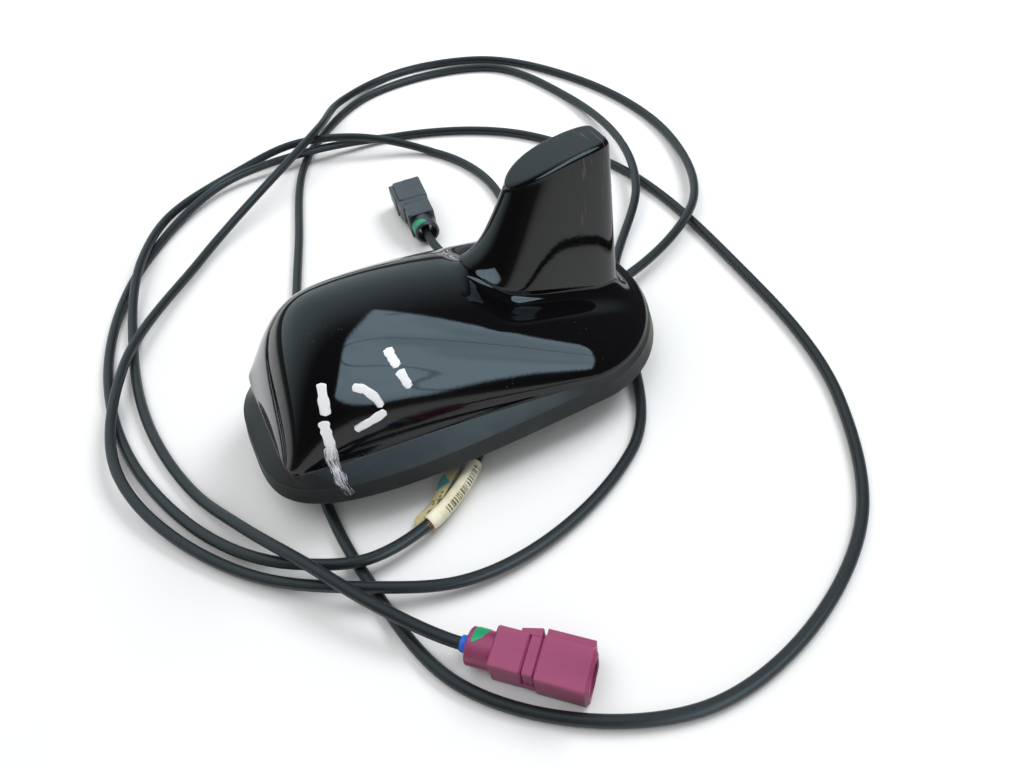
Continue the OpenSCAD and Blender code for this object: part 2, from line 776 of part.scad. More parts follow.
// Plug housing: collar, two boxes with a neck between them, latch, rails and coded mouth
module plug_body(codes) {
    difference() {
        union() {
            along_x(0)
                cylinder(r = collar_r, h = collar_len + cut);
            eased_box(rear_x, rear_len, rear_w, plug_h);
            eased_box(neck_x - cut, neck_len + 2 * cut, rear_w - 2 * neck_step, plug_h - 2 * neck_step);
            eased_box(front_x, front_len, front_w, plug_h);
            // Latch over the neck, then the guide rail along the front box
            translate([neck_x - cut, rear_w / 2 - latch_h, -rail_w])
                cube([neck_len, 2 * latch_h, 2 * rail_w]);
            translate([front_x, front_w / 2 - cut, -rail_w])
                cube([front_len - neck_step, latch_h + cut, 2 * rail_w]);
        }
        // Way of the lead and its ferrule
        along_x(-cut)
            cylinder(r = ferrule_r + fit, h = plug_len - mate_len + cut);
        // Mating bore
        along_x(plug_len - mate_len)
            cylinder(r = mate_r, h = mate_len + cut);
        // Coding grooves beside the bore
        for (c = codes)
            rotate([c, 0, 0])
                translate([plug_len - mate_len / 2, -code_w / 2, 0])
                    cube([mate_len / 2 + cut, code_w, mate_r + neck_step]);
        // Window of the lock
        translate([lock_at, -lock_w / 2, 0])
            cube([lock_t, lock_w, collar_r + cut]);
    }
}

// Lock: the coloured retainer that sits in the collar's window
module plug_lock() {
    translate([lock_at + fit, fit - lock_w / 2, ferrule_r + fit])
        cube([lock_t - 2 * fit, lock_w - 2 * fit, collar_r - ferrule_r]);
}

module plug_shell() {
    along_x(plug_len - mate_len)
        difference() {
            cylinder(r = shell_r, h = mate_len - neck_step);
            translate([0, 0, -cut])
                cylinder(r = shell_r - shell_t, h = mate_len + cut);
        }
}

insulator_h = 4;
module plug_insulator() {
    along_x(plug_len - mate_len)
        difference() {
            cylinder(r = shell_r - shell_t - fit / 2, h = insulator_h);
            translate([0, 0, -cut])
                cylinder(r = pin_r + fit / 2, h = insulator_h + 2 * cut);
        }
}

module plug_pin() {
    along_x(plug_len - mate_len)
        cylinder(r = pin_r, h = mate_len * crimp_share);
}

module plug_ferrule() {
    along_x(lock_at + lock_t)
        difference() {
            cylinder(r = ferrule_r, h = plug_len - mate_len - lock_at - lock_t);
            translate([0, 0, -cut])
                cylinder(r = lead_r + fit, h = lead_in + cut);
        }
}

phone_codes = [90, 270];
radio_codes = [90, 0];

module phone_plug_body() {
    color("#6e1a3c") seat(phone_plug_at, phone_plug_turn) plug_body(phone_codes);
}

module phone_plug_lock() {
    color("#0c8a4c") seat(phone_plug_at, phone_plug_turn) plug_lock();
}

module phone_plug_shell() {
    color("#c9a03c") seat(phone_plug_at, phone_plug_turn) plug_shell();
}

module phone_plug_insulator() {
    color("#f0ece0") seat(phone_plug_at, phone_plug_turn) plug_insulator();
}

module phone_plug_pin() {
    color("#d0a848") seat(phone_plug_at, phone_plug_turn) plug_pin();
}

module phone_plug_ferrule() {
    color("#b8babc") seat(phone_plug_at, phone_plug_turn) plug_ferrule();
}

module radio_plug_body() {
    color("#1a1b1e") seat(radio_plug_at, radio_plug_turn) plug_body(radio_codes);
}

module radio_plug_lock() {
    color("#0c8a4c") seat(radio_plug_at, radio_plug_turn) plug_lock();
}

module radio_plug_shell() {
    color("#c9a03c") seat(radio_plug_at, radio_plug_turn) plug_shell();
}

module radio_plug_insulator() {
    color("#f0ece0") seat(radio_plug_at, radio_plug_turn) plug_insulator();
}

module radio_plug_pin() {
    color("#d0a848") seat(radio_plug_at, radio_plug_turn) plug_pin();
}

module radio_plug_ferrule() {
    color("#b8babc") seat(radio_plug_at, radio_plug_turn) plug_ferrule();
}

cover();
gasket();
base_plate();
outlet_grommet();
cover_screws();
circuit_board();
board_screws();
shield_can();
board_parts();
coax_crimps();
fin_board();
contact_spring();
phone_antenna();
radio_cable();
phone_cable();
cable_label();
marker_sleeve();
phone_plug_body();
phone_plug_lock();
phone_plug_shell();
phone_plug_insulator();
phone_plug_pin();
phone_plug_ferrule();
radio_plug_body();
radio_plug_lock();
radio_plug_shell();
radio_plug_insulator();
radio_plug_pin();
radio_plug_ferrule();
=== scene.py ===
"""Shark-fin roof antenna with two coax leads: its looks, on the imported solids.

Shapes are worked out in millimetres by the rules of the part's source, with more rings, and turned
to metres when a piece is made. Sizes are the source's, but for the fin's foot, which is broader here
and has a shallow valley beside it. +X runs from the housing's nose to its tail.
"""

import math

import bmesh
import bpy
import numpy as np
from mathutils import Matrix, Vector
from mathutils.bvhtree import BVHTree


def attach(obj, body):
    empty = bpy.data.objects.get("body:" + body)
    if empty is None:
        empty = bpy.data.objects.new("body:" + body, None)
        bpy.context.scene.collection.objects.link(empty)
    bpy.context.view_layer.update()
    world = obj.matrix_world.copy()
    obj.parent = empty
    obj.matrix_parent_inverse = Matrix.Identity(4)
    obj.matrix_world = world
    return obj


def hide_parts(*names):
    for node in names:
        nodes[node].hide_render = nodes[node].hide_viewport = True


MM = 0.001

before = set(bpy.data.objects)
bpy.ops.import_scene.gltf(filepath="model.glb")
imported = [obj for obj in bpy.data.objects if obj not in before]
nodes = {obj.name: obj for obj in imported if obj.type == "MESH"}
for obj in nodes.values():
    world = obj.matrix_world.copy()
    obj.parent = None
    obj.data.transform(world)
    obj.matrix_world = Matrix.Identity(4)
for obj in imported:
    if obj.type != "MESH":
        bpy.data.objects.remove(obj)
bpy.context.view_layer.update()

# ---------------------------------------------------------------- sizes, as in the part's source

GASKET_LEN, GASKET_W, GASKET_H, GASKET_FLARE, GASKET_RIM = 120, 70, 5, 1.2, 4.2
LIP_H, LIP_W, GROOVE_H = 2, 4, 1
WALL, SKIRT_H, SKIRT_IN, CREASE_W, DOME_H, DOME_PEAK = 2, 4.6, 5.3, 66.4, 31, 31
FIN_FOOT_LEN, FIN_TOP_LEN, FIN_TAIL_GAP, FIN_H, FIN_FOOT_T, FIN_TOP_T = 43, 28, 8.5, 55.5, 21.5, 12
FIN_EDGE_R, TOP_FRONT_DROP, TOP_REAR_DROP = 1.2, 4, 3
FILLET_FRONT, FILLET_SIDE, FILLET_REAR, FILLET_H = 5.5, 7, 3.5, 3.5
BOSS_R, BOSS_FRONT, BOSS_REAR, BOSS_FRONT_Y, BOSS_REAR_Y, SCREW_R, SCREW_LEN = 3, 24, 24, 19, 21, 1.4, 8
SHANK_X, SHANK_R, SHANK_H, SLOT_W = 4, 9, 9, 4
LEAD_R, LEAD_OFF, LEAD_BEND, BOARD_Z, FIT = 1.5, 2.5, 6.4, 17, 0.1
COLLAR_LEN, COLLAR_R, REAR_LEN, NECK_LEN, FRONT_LEN = 6, 4.3, 7.5, 3, 12
REAR_W, FRONT_W, PLUG_H, MATE_R, MATE_LEN, FERRULE_R = 9.4, 10.2, 9.6, 4.1, 11, 2.4
LATCH_H, NECK_STEP, MARKER_LEN = 1.6, 0.8, 4
THREAD_PITCH, THREAD_TURNS, THREAD_FROM = 1.5, 5, 0.9

# shares of a length, and the powers and tapers that bend the housing's outlines
NOSE_SHARE, TOP_PEAK_SHARE, CREASE_TAIL_SHARE, FIN_MID_SHARE = 0.742, 0.16, 0.115, 0.55
NOSE_POWER, REAR_POWER, CREASE_POWER, PLAN_TAPER, CREASE_TAPER = 3.54, 2.04, 18, 0.062, 0.381
RISE_POWER, FALL_POWER, NOSE_FLANK_POWER, FLANK_POWER, LEAN_POWER = 2.28, 1.56, 2.2, 1.59, 1.18
FIN_FRONT_POWER, FIN_REAR_POWER, TOP_FRONT_POWER, TOP_REAR_POWER = 2.2, 4, 2.5, 9
VALLEY_SHARE = 0.24

FOOT_Z = SHANK_H
RIM_Z = FOOT_Z + GASKET_H
PLATE_Z = FOOT_Z + LIP_H
NOSE_X, TAIL_X = -GASKET_LEN / 2, GASKET_LEN / 2
NOSE_LEN = GASKET_LEN * NOSE_SHARE
TAIL_LEN = GASKET_LEN - NOSE_LEN
WIDE_X = NOSE_X + NOSE_LEN
PEAK_X = NOSE_X + DOME_PEAK
FIN_REAR_X = TAIL_X - FIN_TAIL_GAP
FIN_FRONT_X = FIN_REAR_X - FIN_FOOT_LEN
TOP_FRONT_X = FIN_REAR_X - FIN_TOP_LEN
TOP_PEAK_X = FIN_REAR_X - FIN_TOP_LEN * TOP_PEAK_SHARE
NOSE_IN, TAIL_IN = GASKET_FLARE + SKIRT_IN, GASKET_FLARE + SKIRT_IN * CREASE_TAIL_SHARE
PLATE_TOP = PLATE_Z + 3
PLUG_LEN = COLLAR_LEN + REAR_LEN + NECK_LEN + FRONT_LEN
PLUG_Z = PLUG_H / 2

RADIO_WAY = [
    (-9, -30, 2.5), (-26, -41, 4), (-44, -43, 4.7), (-60, -35, 4.6), (-91, 15, 1.5), (-94, 65, 1.5),
    (-71, 117, 1.5), (-34, 143, 3.6), (-1, 141, 4.6), (34, 134, 1.5), (74, 107, 1.5), (94, 67, 1.5),
    (97, -3, 1.5), (85, -64, 1.5), (65, -93, 1.5), (6, -111, 1.5), (-38, -80, 1.5), (-47, -43, 1.5),
    (-22, 89, 1.5), (4, 149, 1.5), (36, 172, 1.5), (93, 157, 1.5), (105, 121, 1.5), (91, 43, 5.2),
    (64, 15, 1.5), (29, -48, 1.5), (-28, -59, 3.2), (-47, -50, 4.8), (-72, -30, 2.4), (-97, 24, 4.6),
    (-88, 61, 4.8), (-54, 102, 3), (8, 146, 10.3), (24, 171, 4), (47, 182, 1.5), (89, 170, 1.5),
    (116, 127, 1.5), (122, 67, 2), (103, 26, 4.6), (40, 8, 4.8),
]
PHONE_WAY = [
    (24, 30, 1.5), (48, 60, 1.5), (52, 84, 1.5), (43, 113, 1.5), (18, 134, 7.6), (-6, 147, 6.5),
    (-30, 149, 2.4), (-61, 132, 4), (-73, 112, 5.1), (-85, 70, 1.5), (-86, 32, 1.5), (-79, 2, 2),
    (-70, -17, 5.4), (-57, -40, 8.5), (-48, -55, 7.4),
]
PLUG_AT = {"phone": ((-32, -75), -45), "radio": ((19, 64), 82)}

# ---------------------------------------------------------------- camera

FOCAL_PX, PHOTO_W = 769, 1024
EYE = Vector((-38.4, -146.3, 171.7)) * MM
EYE_RIGHT = Vector((0.87879, -0.46484, -0.10790))
EYE_DOWN = Vector((-0.41908, -0.64361, -0.64042))
EYE_AHEAD = Vector((0.22825, 0.60801, -0.76040))


def place_camera():
    data = bpy.data.cameras.new("camera")
    data.sensor_fit, data.sensor_width = "HORIZONTAL", 36
    data.lens = FOCAL_PX / PHOTO_W * 36
    data.clip_start, data.clip_end = 0.01, 20
    camera = bpy.data.objects.new("camera", data)
    bpy.context.collection.objects.link(camera)
    turn = Matrix((EYE_RIGHT, -EYE_DOWN, -EYE_AHEAD)).transposed().to_4x4()
    camera.matrix_world = Matrix.Translation(EYE) @ turn
    bpy.context.scene.camera = camera


place_camera()

# ---------------------------------------------------------------- shader expressions


class Num:
    """A number socket that takes part in an expression: each operator adds its Math node."""

    def __init__(self, finish, socket):
        self.finish, self.socket = finish, socket

    def math(self, operation, *others):
        return self.finish.node("ShaderNodeMath", {"operation": operation}, dict(enumerate((self, *others)))).num()

    def __add__(self, other):
        return self.math("ADD", other)

    __radd__ = __add__

    def __sub__(self, other):
        return self.math("SUBTRACT", other)

    def __rsub__(self, other):
        return self.math("MULTIPLY_ADD", -1, other)

    def __mul__(self, other):
        return self.math("MULTIPLY", other)

    __rmul__ = __mul__

    def __pow__(self, other):
        return self.math("POWER", other)

    def __gt__(self, other):
        return self.math("GREATER_THAN", other)

    def __lt__(self, other):
        return self.math("LESS_THAN", other)

    def __abs__(self):
        return self.math("ABSOLUTE")

    def ramp(self, low, high, to_low=0.0, to_high=1.0):
        """Runs smoothly from to_low at low to to_high at high."""
        return self.finish.node(
            "ShaderNodeMapRange", {"interpolation_type": "SMOOTHSTEP"},
            {"Value": self, "From Min": low, "From Max": high, "To Min": to_low, "To Max": to_high},
        ).num()


class Node:
    def __init__(self, finish, node):
        self.finish, self.node = finish, node

    def num(self, output=0):
        return Num(self.finish, self.node.outputs[output])

    def out(self, output=0):
        return self.node.outputs[output]


class Wiring:
    """Adds nodes to a tree."""

    def __init__(self, tree):
        self.tree = tree
        tree.nodes.clear()

    def node(self, kind, settings=None, sockets=None):
        node = self.tree.nodes.new(kind)
        for key, value in (settings or {}).items():
            setattr(node, key, value)
        for key, value in (sockets or {}).items():
            self.feed(node.inputs[key], value)
        return Node(self, node)

    def feed(self, socket, value):
        if isinstance(value, (Num, Node, bpy.types.NodeSocket)):
            source = value.socket if isinstance(value, Num) else value.out() if isinstance(value, Node) else value
            self.tree.links.new(source, socket)
        elif socket.type == "RGBA" and len(value) == 3:
            socket.default_value = (*value, 1)
        else:
            socket.default_value = value

    def mix(self, share, first, second):
        """A colour between first and second."""
        node = self.tree.nodes.new("ShaderNodeMix")
        node.data_type = "RGBA"
        self.feed(node.inputs["Factor"], share)
        self.feed(node.inputs[6], first)
        self.feed(node.inputs[7], second)
        return node.outputs[2]

    def facing(self, vector, normal):
        """How far a direction points along normal."""
        return self.node("ShaderNodeVectorMath", {"operation": "DOT_PRODUCT"}, {0: vector, 1: normal}).num("Value")


class Finish(Wiring):
    """A material and its nodes."""

    def __init__(self, name, **shader):
        self.material = bpy.data.materials.new(name)
        self.material.use_nodes = True
        super().__init__(self.material.node_tree)
        self.shader = self.node("ShaderNodeBsdfPrincipled", {}, shader)
        output = self.node("ShaderNodeOutputMaterial")
        self.tree.links.new(self.shader.out(), output.node.inputs["Surface"])
        self.surface = output.node.inputs["Surface"]
        self.place = self.node("ShaderNodeTexCoord").out("Object")

    def set(self, **sockets):
        for key, value in sockets.items():
            self.feed(self.shader.node.inputs[key.replace("_", " ")], value)
        return self

    def scaled(self, scale, turn=(0, 0, 0), at=(0, 0, 0)):
        """The place on the piece, stretched, for streaks and brush marks."""
        return self.node("ShaderNodeMapping", {}, {"Vector": self.place, "Scale": scale, "Rotation": turn,
                                                   "Location": at}).out()

    def axis(self, name):
        return self.node("ShaderNodeSeparateXYZ", {}, {0: self.place}).num(name)

    def noise(self, scale, detail=3.0, rough=0.55, vector=None, warp=0.0):
        return self.node("ShaderNodeTexNoise", {}, {
            "Vector": vector or self.place, "Scale": scale, "Detail": detail, "Roughness": rough,
            "Distortion": warp}).num("Fac")

    def cells(self, scale, feature="F1"):
        return self.node("ShaderNodeTexVoronoi", {"feature": feature}, {
            "Vector": self.place, "Scale": scale}).num("Distance")

    def along(self):
        """The piece's own UV map, and its run along and turn across as numbers."""
        uv = self.node("ShaderNodeUVMap", {"uv_map": "along"}).out()
        split = self.node("ShaderNodeSeparateXYZ", {}, {0: uv})
        return uv, split.num("X"), split.num("Y")

    def steps(self, at):
        """Noise along one number, for printed bars and dashes."""
        return self.node("ShaderNodeTexNoise", {"noise_dimensions": "1D"}, {
            "W": at, "Scale": 1.0, "Detail": 1.0}).num("Fac")

    def bump(self, height, strength, distance):
        """Feeds the shader's normal; distance is in metres."""
        normal = self.node("ShaderNodeBump", {}, {"Height": height, "Strength": strength,
                                                  "Distance": distance}).out()
        self.feed(self.shader.node.inputs["Normal"], normal)
        return self


# ---------------------------------------------------------------- finishes


def gloss_cover():
    """Polished black plastic with faint haze, hairline scratches, dust and rubbed skirt edges."""
    f = Finish("cover_gloss_black", **{"IOR": 1.46, "Coat IOR": 1.45})
    haze = f.noise(38, 4, 0.6)
    smear = f.noise(9, 3, 0.5, f.scaled((1, 2.4, 1), (0.3, 0.2, 0.9)), 0.6)
    scratches = None
    for turn, seed in ((0.5, 0.0), (1.35, 3.7), (2.5, 8.1)):
        vector = f.scaled((26, 900, 26), (0.4 * turn, 0.3, turn), (seed, seed, 0))
        line = (f.noise(1.0, 2, 0.5, vector, 0.4)).ramp(0.70, 0.76)
        scratches = line if scratches is None else scratches + line
    patch = f.noise(45, 2, 0.5).ramp(0.5, 0.62)
    x, z = f.axis("X"), f.axis("Z")
    on_fin = x.ramp(0.022, 0.032) * z.ramp(0.040, 0.050)
    worn = x.ramp(0.036, 0.040) * x.ramp(0.054, 0.050) * z.ramp(0.044, 0.048)
    scratches = scratches * patch * (on_fin * 0.85 + 0.15) + worn * f.noise(
        1.0, 2, 0.5, f.scaled((1500, 60, 90), (0.1, 0.35, 0)), 0.4).ramp(0.62, 0.70)
    dust = f.cells(520).ramp(0.10, 0.05) * f.noise(60, 2, 0.5).ramp(0.52, 0.66)
    low = z.ramp(0.0185, 0.0142) * f.noise(70, 4, 0.7).ramp(0.35, 0.7)
    colour = f.mix(haze * 0.5, (0.0022, 0.0022, 0.0026), (0.0045, 0.0044, 0.0050))
    colour = f.mix(scratches * 0.16, colour, (0.25, 0.25, 0.25))
    colour = f.mix(dust * 0.10, colour, (0.4, 0.38, 0.33))
    colour = f.mix(low * 0.05, colour, (0.12, 0.12, 0.11))
    skirt = (x.ramp(-0.024, 0.060, 0.0186, 0.01515) - z).ramp(-0.0001, 0.0003)
    rough = smear.ramp(0.4, 0.75, 0.045, 0.10) + scratches * 0.12 + dust * 0.2 + low * 0.15 + skirt * 0.34
    f.set(Base_Color=colour, Roughness=rough)
    wave = f.noise(24, 2, 0.4) + f.noise(900, 1, 0.4) * 0.02
    return f.bump(wave, 0.30, 0.0006).material


def gasket_rubber():
    """Black rubber, matt and dusty, with a painted olive-grey sheen round the tail for the pale reflection there."""
    f = Finish("gasket_rubber", **{"IOR": 1.5, "Specular IOR Level": 0.35})
    mottle = f.noise(55, 5, 0.65)
    x, z = f.axis("X"), f.axis("Z")
    # painted sheen: towards the tail the colour runs to olive grey, standing in for the pale room reflected on the
    # rubber
    tail = (x + f.noise(30, 3, 0.6) * 0.006).ramp(0.050, 0.0595)
    dusty = f.noise(160, 4, 0.7).ramp(0.5, 0.75) * z.ramp(0.0085, 0.0125, 1, 0.4)
    colour = f.mix(mottle, (0.008, 0.009, 0.009), (0.019, 0.020, 0.019))
    colour = f.mix(dusty * 0.16, colour, (0.13, 0.13, 0.11))
    colour = f.mix(tail * 0.8, colour, (0.105, 0.118, 0.060))
    f.set(Base_Color=colour, Roughness=mottle.ramp(0.2, 0.8, 0.42, 0.62))
    return f.bump(f.noise(900, 3, 0.6) + mottle * 2, 0.25, 0.0002).material


def lead_jacket():
    """Extruded jacket: satin, with faint run lines along it, scuffs and dust."""
    f = Finish("lead_jacket", **{"IOR": 1.5, "Specular IOR Level": 0.42})
    uv = f.node("ShaderNodeUVMap", {"uv_map": "along"}).out()
    run = f.node("ShaderNodeMapping", {}, {"Vector": uv, "Scale": (12, 26, 1)}).out()
    lines = f.noise(1.0, 3, 0.6, run)
    along = f.node("ShaderNodeMapping", {}, {"Vector": uv, "Scale": (60, 2, 1)}).out()
    scuff = f.noise(1.0, 4, 0.7, along).ramp(0.62, 0.8)
    specks = f.cells(850).ramp(0.12, 0.06) * f.noise(120, 2, 0.5).ramp(0.5, 0.7)
    colour = f.mix(lines, (0.0075, 0.0095, 0.0105), (0.01425, 0.01805, 0.01995))
    colour = f.mix(scuff * 0.10, colour, (0.16, 0.17, 0.17))
    colour = f.mix(specks * 0.28, colour, (0.35, 0.35, 0.33))
    f.set(Base_Color=colour, Roughness=lines.ramp(0.2, 0.8, 0.33, 0.46) + scuff * 0.15)
    return f.bump(lines * 0.6 + f.noise(700, 2, 0.5) * 0.25, 0.3, 0.0001).material


def moulded(name, base, light, rough=0.42, specular=0.5):
    """Moulded plastic with a fine spark-eroded grain, flow marks and paler rubbed edges."""
    f = Finish(name, **{"IOR": 1.5, "Specular IOR Level": specular})
    flow = f.noise(120, 4, 0.6, f.scaled((1, 1, 1.8)), 0.5)
    grain = f.noise(2600, 2, 0.5)
    edge = f.node("ShaderNodeNewGeometry").num("Pointiness").ramp(0.52, 0.60)
    scratch = f.noise(1.0, 2, 0.5, f.scaled((60, 1500, 60), (0.2, 0.1, 0.7)), 0.3).ramp(0.68, 0.76)
    colour = f.mix(flow, base, light)
    colour = f.mix(scratch * 0.22, colour, tuple(min(1, c * 2.0 + 0.06) for c in light))
    colour = f.mix(edge * 0.25, colour, tuple(min(1, c * 1.6 + 0.02) for c in light))
    f.set(Base_Color=colour, Roughness=flow.ramp(0.3, 0.8, rough - 0.05, rough + 0.08) + scratch * 0.1)
    return f.bump(grain * 0.5 + flow * 0.4, 0.22, 0.00012).material


def metal(name, base, dark, rough=0.32, cast=False):
    """Plated or cast metal: machining streaks or a cast skin, with dull patches."""
    f = Finish(name, **{"Metallic": 1.0})
    patch = f.noise(90, 4, 0.6)
    lines = f.noise(220 if cast else 1.0, 4 if cast else 2, 0.6, None if cast else f.scaled((60, 60, 4000)))
    colour = f.mix(patch.ramp(0.35, 0.75), base, dark)
    f.set(Base_Color=colour, Roughness=lines.ramp(0.2, 0.8, rough - 0.08, rough + 0.12) + patch * 0.08)
    return f.bump(lines, 0.5 if cast else 0.2, 0.00025 if cast else 0.00005).material


def board_mask():
    """Green solder mask over copper tracks, with a weave below it."""
    f = Finish("board_solder_mask", **{"Coat Weight": 0.4, "Coat Roughness": 0.12})
    tracks = f.cells(240, "DISTANCE_TO_EDGE").ramp(0.05, 0.08)
    weave = f.node("ShaderNodeTexWave", {"bands_direction": "DIAGONAL"}, {"Vector": f.place, "Scale": 900,
                                                                          "Distortion": 1.0}).num("Fac")
    colour = f.mix(tracks, (0.035, 0.21, 0.07), (0.012, 0.10, 0.032))
    colour = f.mix(weave * 0.15, colour, (0.05, 0.16, 0.07))
    f.set(Base_Color=colour, Roughness=weave.ramp(0, 1, 0.34, 0.42))
    return f.bump(1 - tracks, 0.4, 0.00005).material


def soft_piece(name, base, light, rough=0.7):
    """Rubber, paper or film: mottled and matt."""
    f = Finish(name, **{"Specular IOR Level": 0.35})
    mottle = f.noise(180, 5, 0.65)
    colour = f.mix(mottle, base, light)
    f.set(Base_Color=colour, Roughness=mottle.ramp(0.2, 0.8, rough - 0.08, rough + 0.08))
    return f.bump(mottle, 0.35, 0.00015).material


def label_paper():
    """Cream label film, yellowed, with plain printed bars along one side of the tube and a painted shadow line along
    the edge beside the flag.
    """
    f = Finish("label_paper", **{"Specular IOR Level": 0.45})
    _, run, turn = f.along()
    stain = f.noise(110, 5, 0.65)
    colour = f.mix(stain.ramp(0.3, 0.75), (0.72, 0.69, 0.55), (0.50, 0.44, 0.25))
    bars = (f.steps(run * 2100) > 0.5) * (run > 0.001) * (run < 0.0165) * (turn > 0.52) * (turn < 0.68)
    wear = f.noise(800, 3, 0.6).ramp(0.25, 0.42)
    colour = f.mix(bars * wear * 0.92, colour, (0.015, 0.015, 0.015))
    # painted shadow: a dark line down the tube's side next to the flag, for the shade the flag's edge casts there
    edge = (turn > 0.875) * (turn < 0.935) * (run > 0.002)
    colour = f.mix(edge * 0.85, colour, (0.03, 0.028, 0.02))
    f.set(Base_Color=colour, Roughness=stain.ramp(0.2, 0.8, 0.42, 0.62))
    return f.bump(stain, 0.3, 0.0002).material


def label_flag_film():
    """The label's folded tail: yellowed film with adhesive showing through, and a teal stain."""
    f = Finish("label_flag_film", **{"Specular IOR Level": 0.5})
    stain = f.noise(150, 5, 0.7)
    _, run, across = f.along()
    colour = f.mix(stain.ramp(0.3, 0.7), (0.58, 0.52, 0.29), (0.38, 0.32, 0.14))
    teal = (abs(run - 0.0042) + abs(across - 0.85) * 0.003 + (stain - 0.5) * 0.004).ramp(0.0026, 0.0018)
    colour = f.mix(teal * 0.85, colour, (0.02, 0.30, 0.33))
    dashes = (f.steps(run * 900) > 0.52) * (across > 0.20) * (across < 0.42) * (run > 0.007) * (run < 0.024)
    colour = f.mix(dashes * 0.75, colour, (0.04, 0.04, 0.035))
    f.set(Base_Color=colour, Roughness=stain.ramp(0.2, 0.8, 0.28, 0.5))
    return f.bump(stain, 0.5, 0.0003).material


def pen_paint():
    """White paint-pen strokes: opaque where thick, streaky and thin at the edges."""
    f = Finish("pen_paint", **{"Specular IOR Level": 0.5})
    streak = f.noise(1.0, 4, 0.65, f.scaled((420, 1400, 420), (0, 0, 1.1)))
    _, run, across = f.along()
    thin = (abs(across - 0.5) * 0.9 + streak * 0.6 + run * 0.35 - 0.30).ramp(0.55, 0.95)
    colour = f.mix(thin, (0.90, 0.90, 0.91), (0.16, 0.16, 0.18))
    f.set(Base_Color=colour, Roughness=streak.ramp(0.2, 0.8, 0.35, 0.6))
    return f.bump(streak, 0.4, 0.0001).material


def pen_smear_paint():
    """The same paint dragged out dry: broken streaks that show the black below."""
    f = Finish("pen_smear", **{"Specular IOR Level": 0.5})
    uv, run, across = f.along()
    streaks = f.node("ShaderNodeMapping", {}, {"Vector": uv, "Scale": (5, 26, 1)}).out()
    cover = f.noise(1.0, 4, 0.65, streaks) - run * 0.16 - abs(across - 0.5) * 0.18
    covered = cover.ramp(0.34, 0.44)
    colour = f.mix(covered, (0.03, 0.03, 0.035), (0.80, 0.80, 0.83))
    f.set(Base_Color=colour, Roughness=covered * 0.25 + 0.2, Alpha=cover.ramp(0.26, 0.38, 0.0, 1.0))
    return f.bump(covered, 0.3, 0.00008).material


GLOSS_BLACK = gloss_cover()
GASKET_RUBBER = gasket_rubber()
LEAD_JACKET = lead_jacket()
BORDEAUX = moulded("plug_bordeaux", (0.175, 0.014, 0.062), (0.218, 0.028, 0.090), 0.46, 0.75)
PLUG_BLACK = moulded("plug_black", (0.0095, 0.011, 0.015), (0.018, 0.021, 0.028), 0.40, 0.85)
LOCK_GREEN = moulded("lock_green", (0.0, 0.19, 0.075), (0.01, 0.27, 0.11), 0.4)
SLEEVE_BLUE = soft_piece("sleeve_blue", (0.01, 0.08, 0.42), (0.03, 0.14, 0.62), 0.5)
LABEL_PAPER = label_paper()
FLAG_FILM = label_flag_film()
PEN_PAINT = pen_paint()
CAST_ALLOY = metal("cast_alloy", (0.52, 0.53, 0.54), (0.36, 0.37, 0.38), 0.45, cast=True)
SCREW_STEEL = metal("screw_steel", (0.62, 0.63, 0.64), (0.42, 0.43, 0.44), 0.30)
TIN_SHEET = metal("tin_sheet", (0.64, 0.65, 0.66), (0.48, 0.49, 0.50), 0.34)
GOLD_PLATE = metal("gold_plate", (0.78, 0.56, 0.22), (0.60, 0.42, 0.16), 0.24)
GROMMET_RUBBER = soft_piece("grommet_rubber", (0.012, 0.012, 0.013), (0.026, 0.026, 0.027))
CHIP_BLACK = soft_piece("chip_black", (0.016, 0.016, 0.018), (0.03, 0.03, 0.032), 0.5)
INSULATOR_WHITE = soft_piece("insulator_white", (0.78, 0.75, 0.68), (0.66, 0.62, 0.53), 0.45)
BOARD_GREEN = board_mask()
FRAYED_BROWN = soft_piece("frayed_brown", (0.20, 0.09, 0.03), (0.42, 0.22, 0.08))
PEN_SMEAR = pen_smear_paint()

# ---------------------------------------------------------------- mesh helpers


def add_piece(name, points, faces, finish, sharp=35, uv=None, joined=True):
    """Makes one piece from points in millimetres; uv gives one pair for each point of each face."""
    mesh = bpy.data.meshes.new(name)
    mesh.from_pydata((np.asarray(points, float) * MM).tolist(), [], [tuple(map(int, f)) for f in faces])
    if uv is not None:
        layer = mesh.uv_layers.new(name="along")
        layer.data.foreach_set("uv", np.asarray(uv, float).ravel())
    mesh.validate()
    mesh.update()
    mesh.shade_smooth()
    if sharp:
        mesh.set_sharp_from_angle(angle=math.radians(sharp))
    mesh.materials.append(finish)
    piece = bpy.data.objects.new(name, mesh)
    bpy.context.collection.objects.link(piece)
    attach(piece, "root")
    return piece


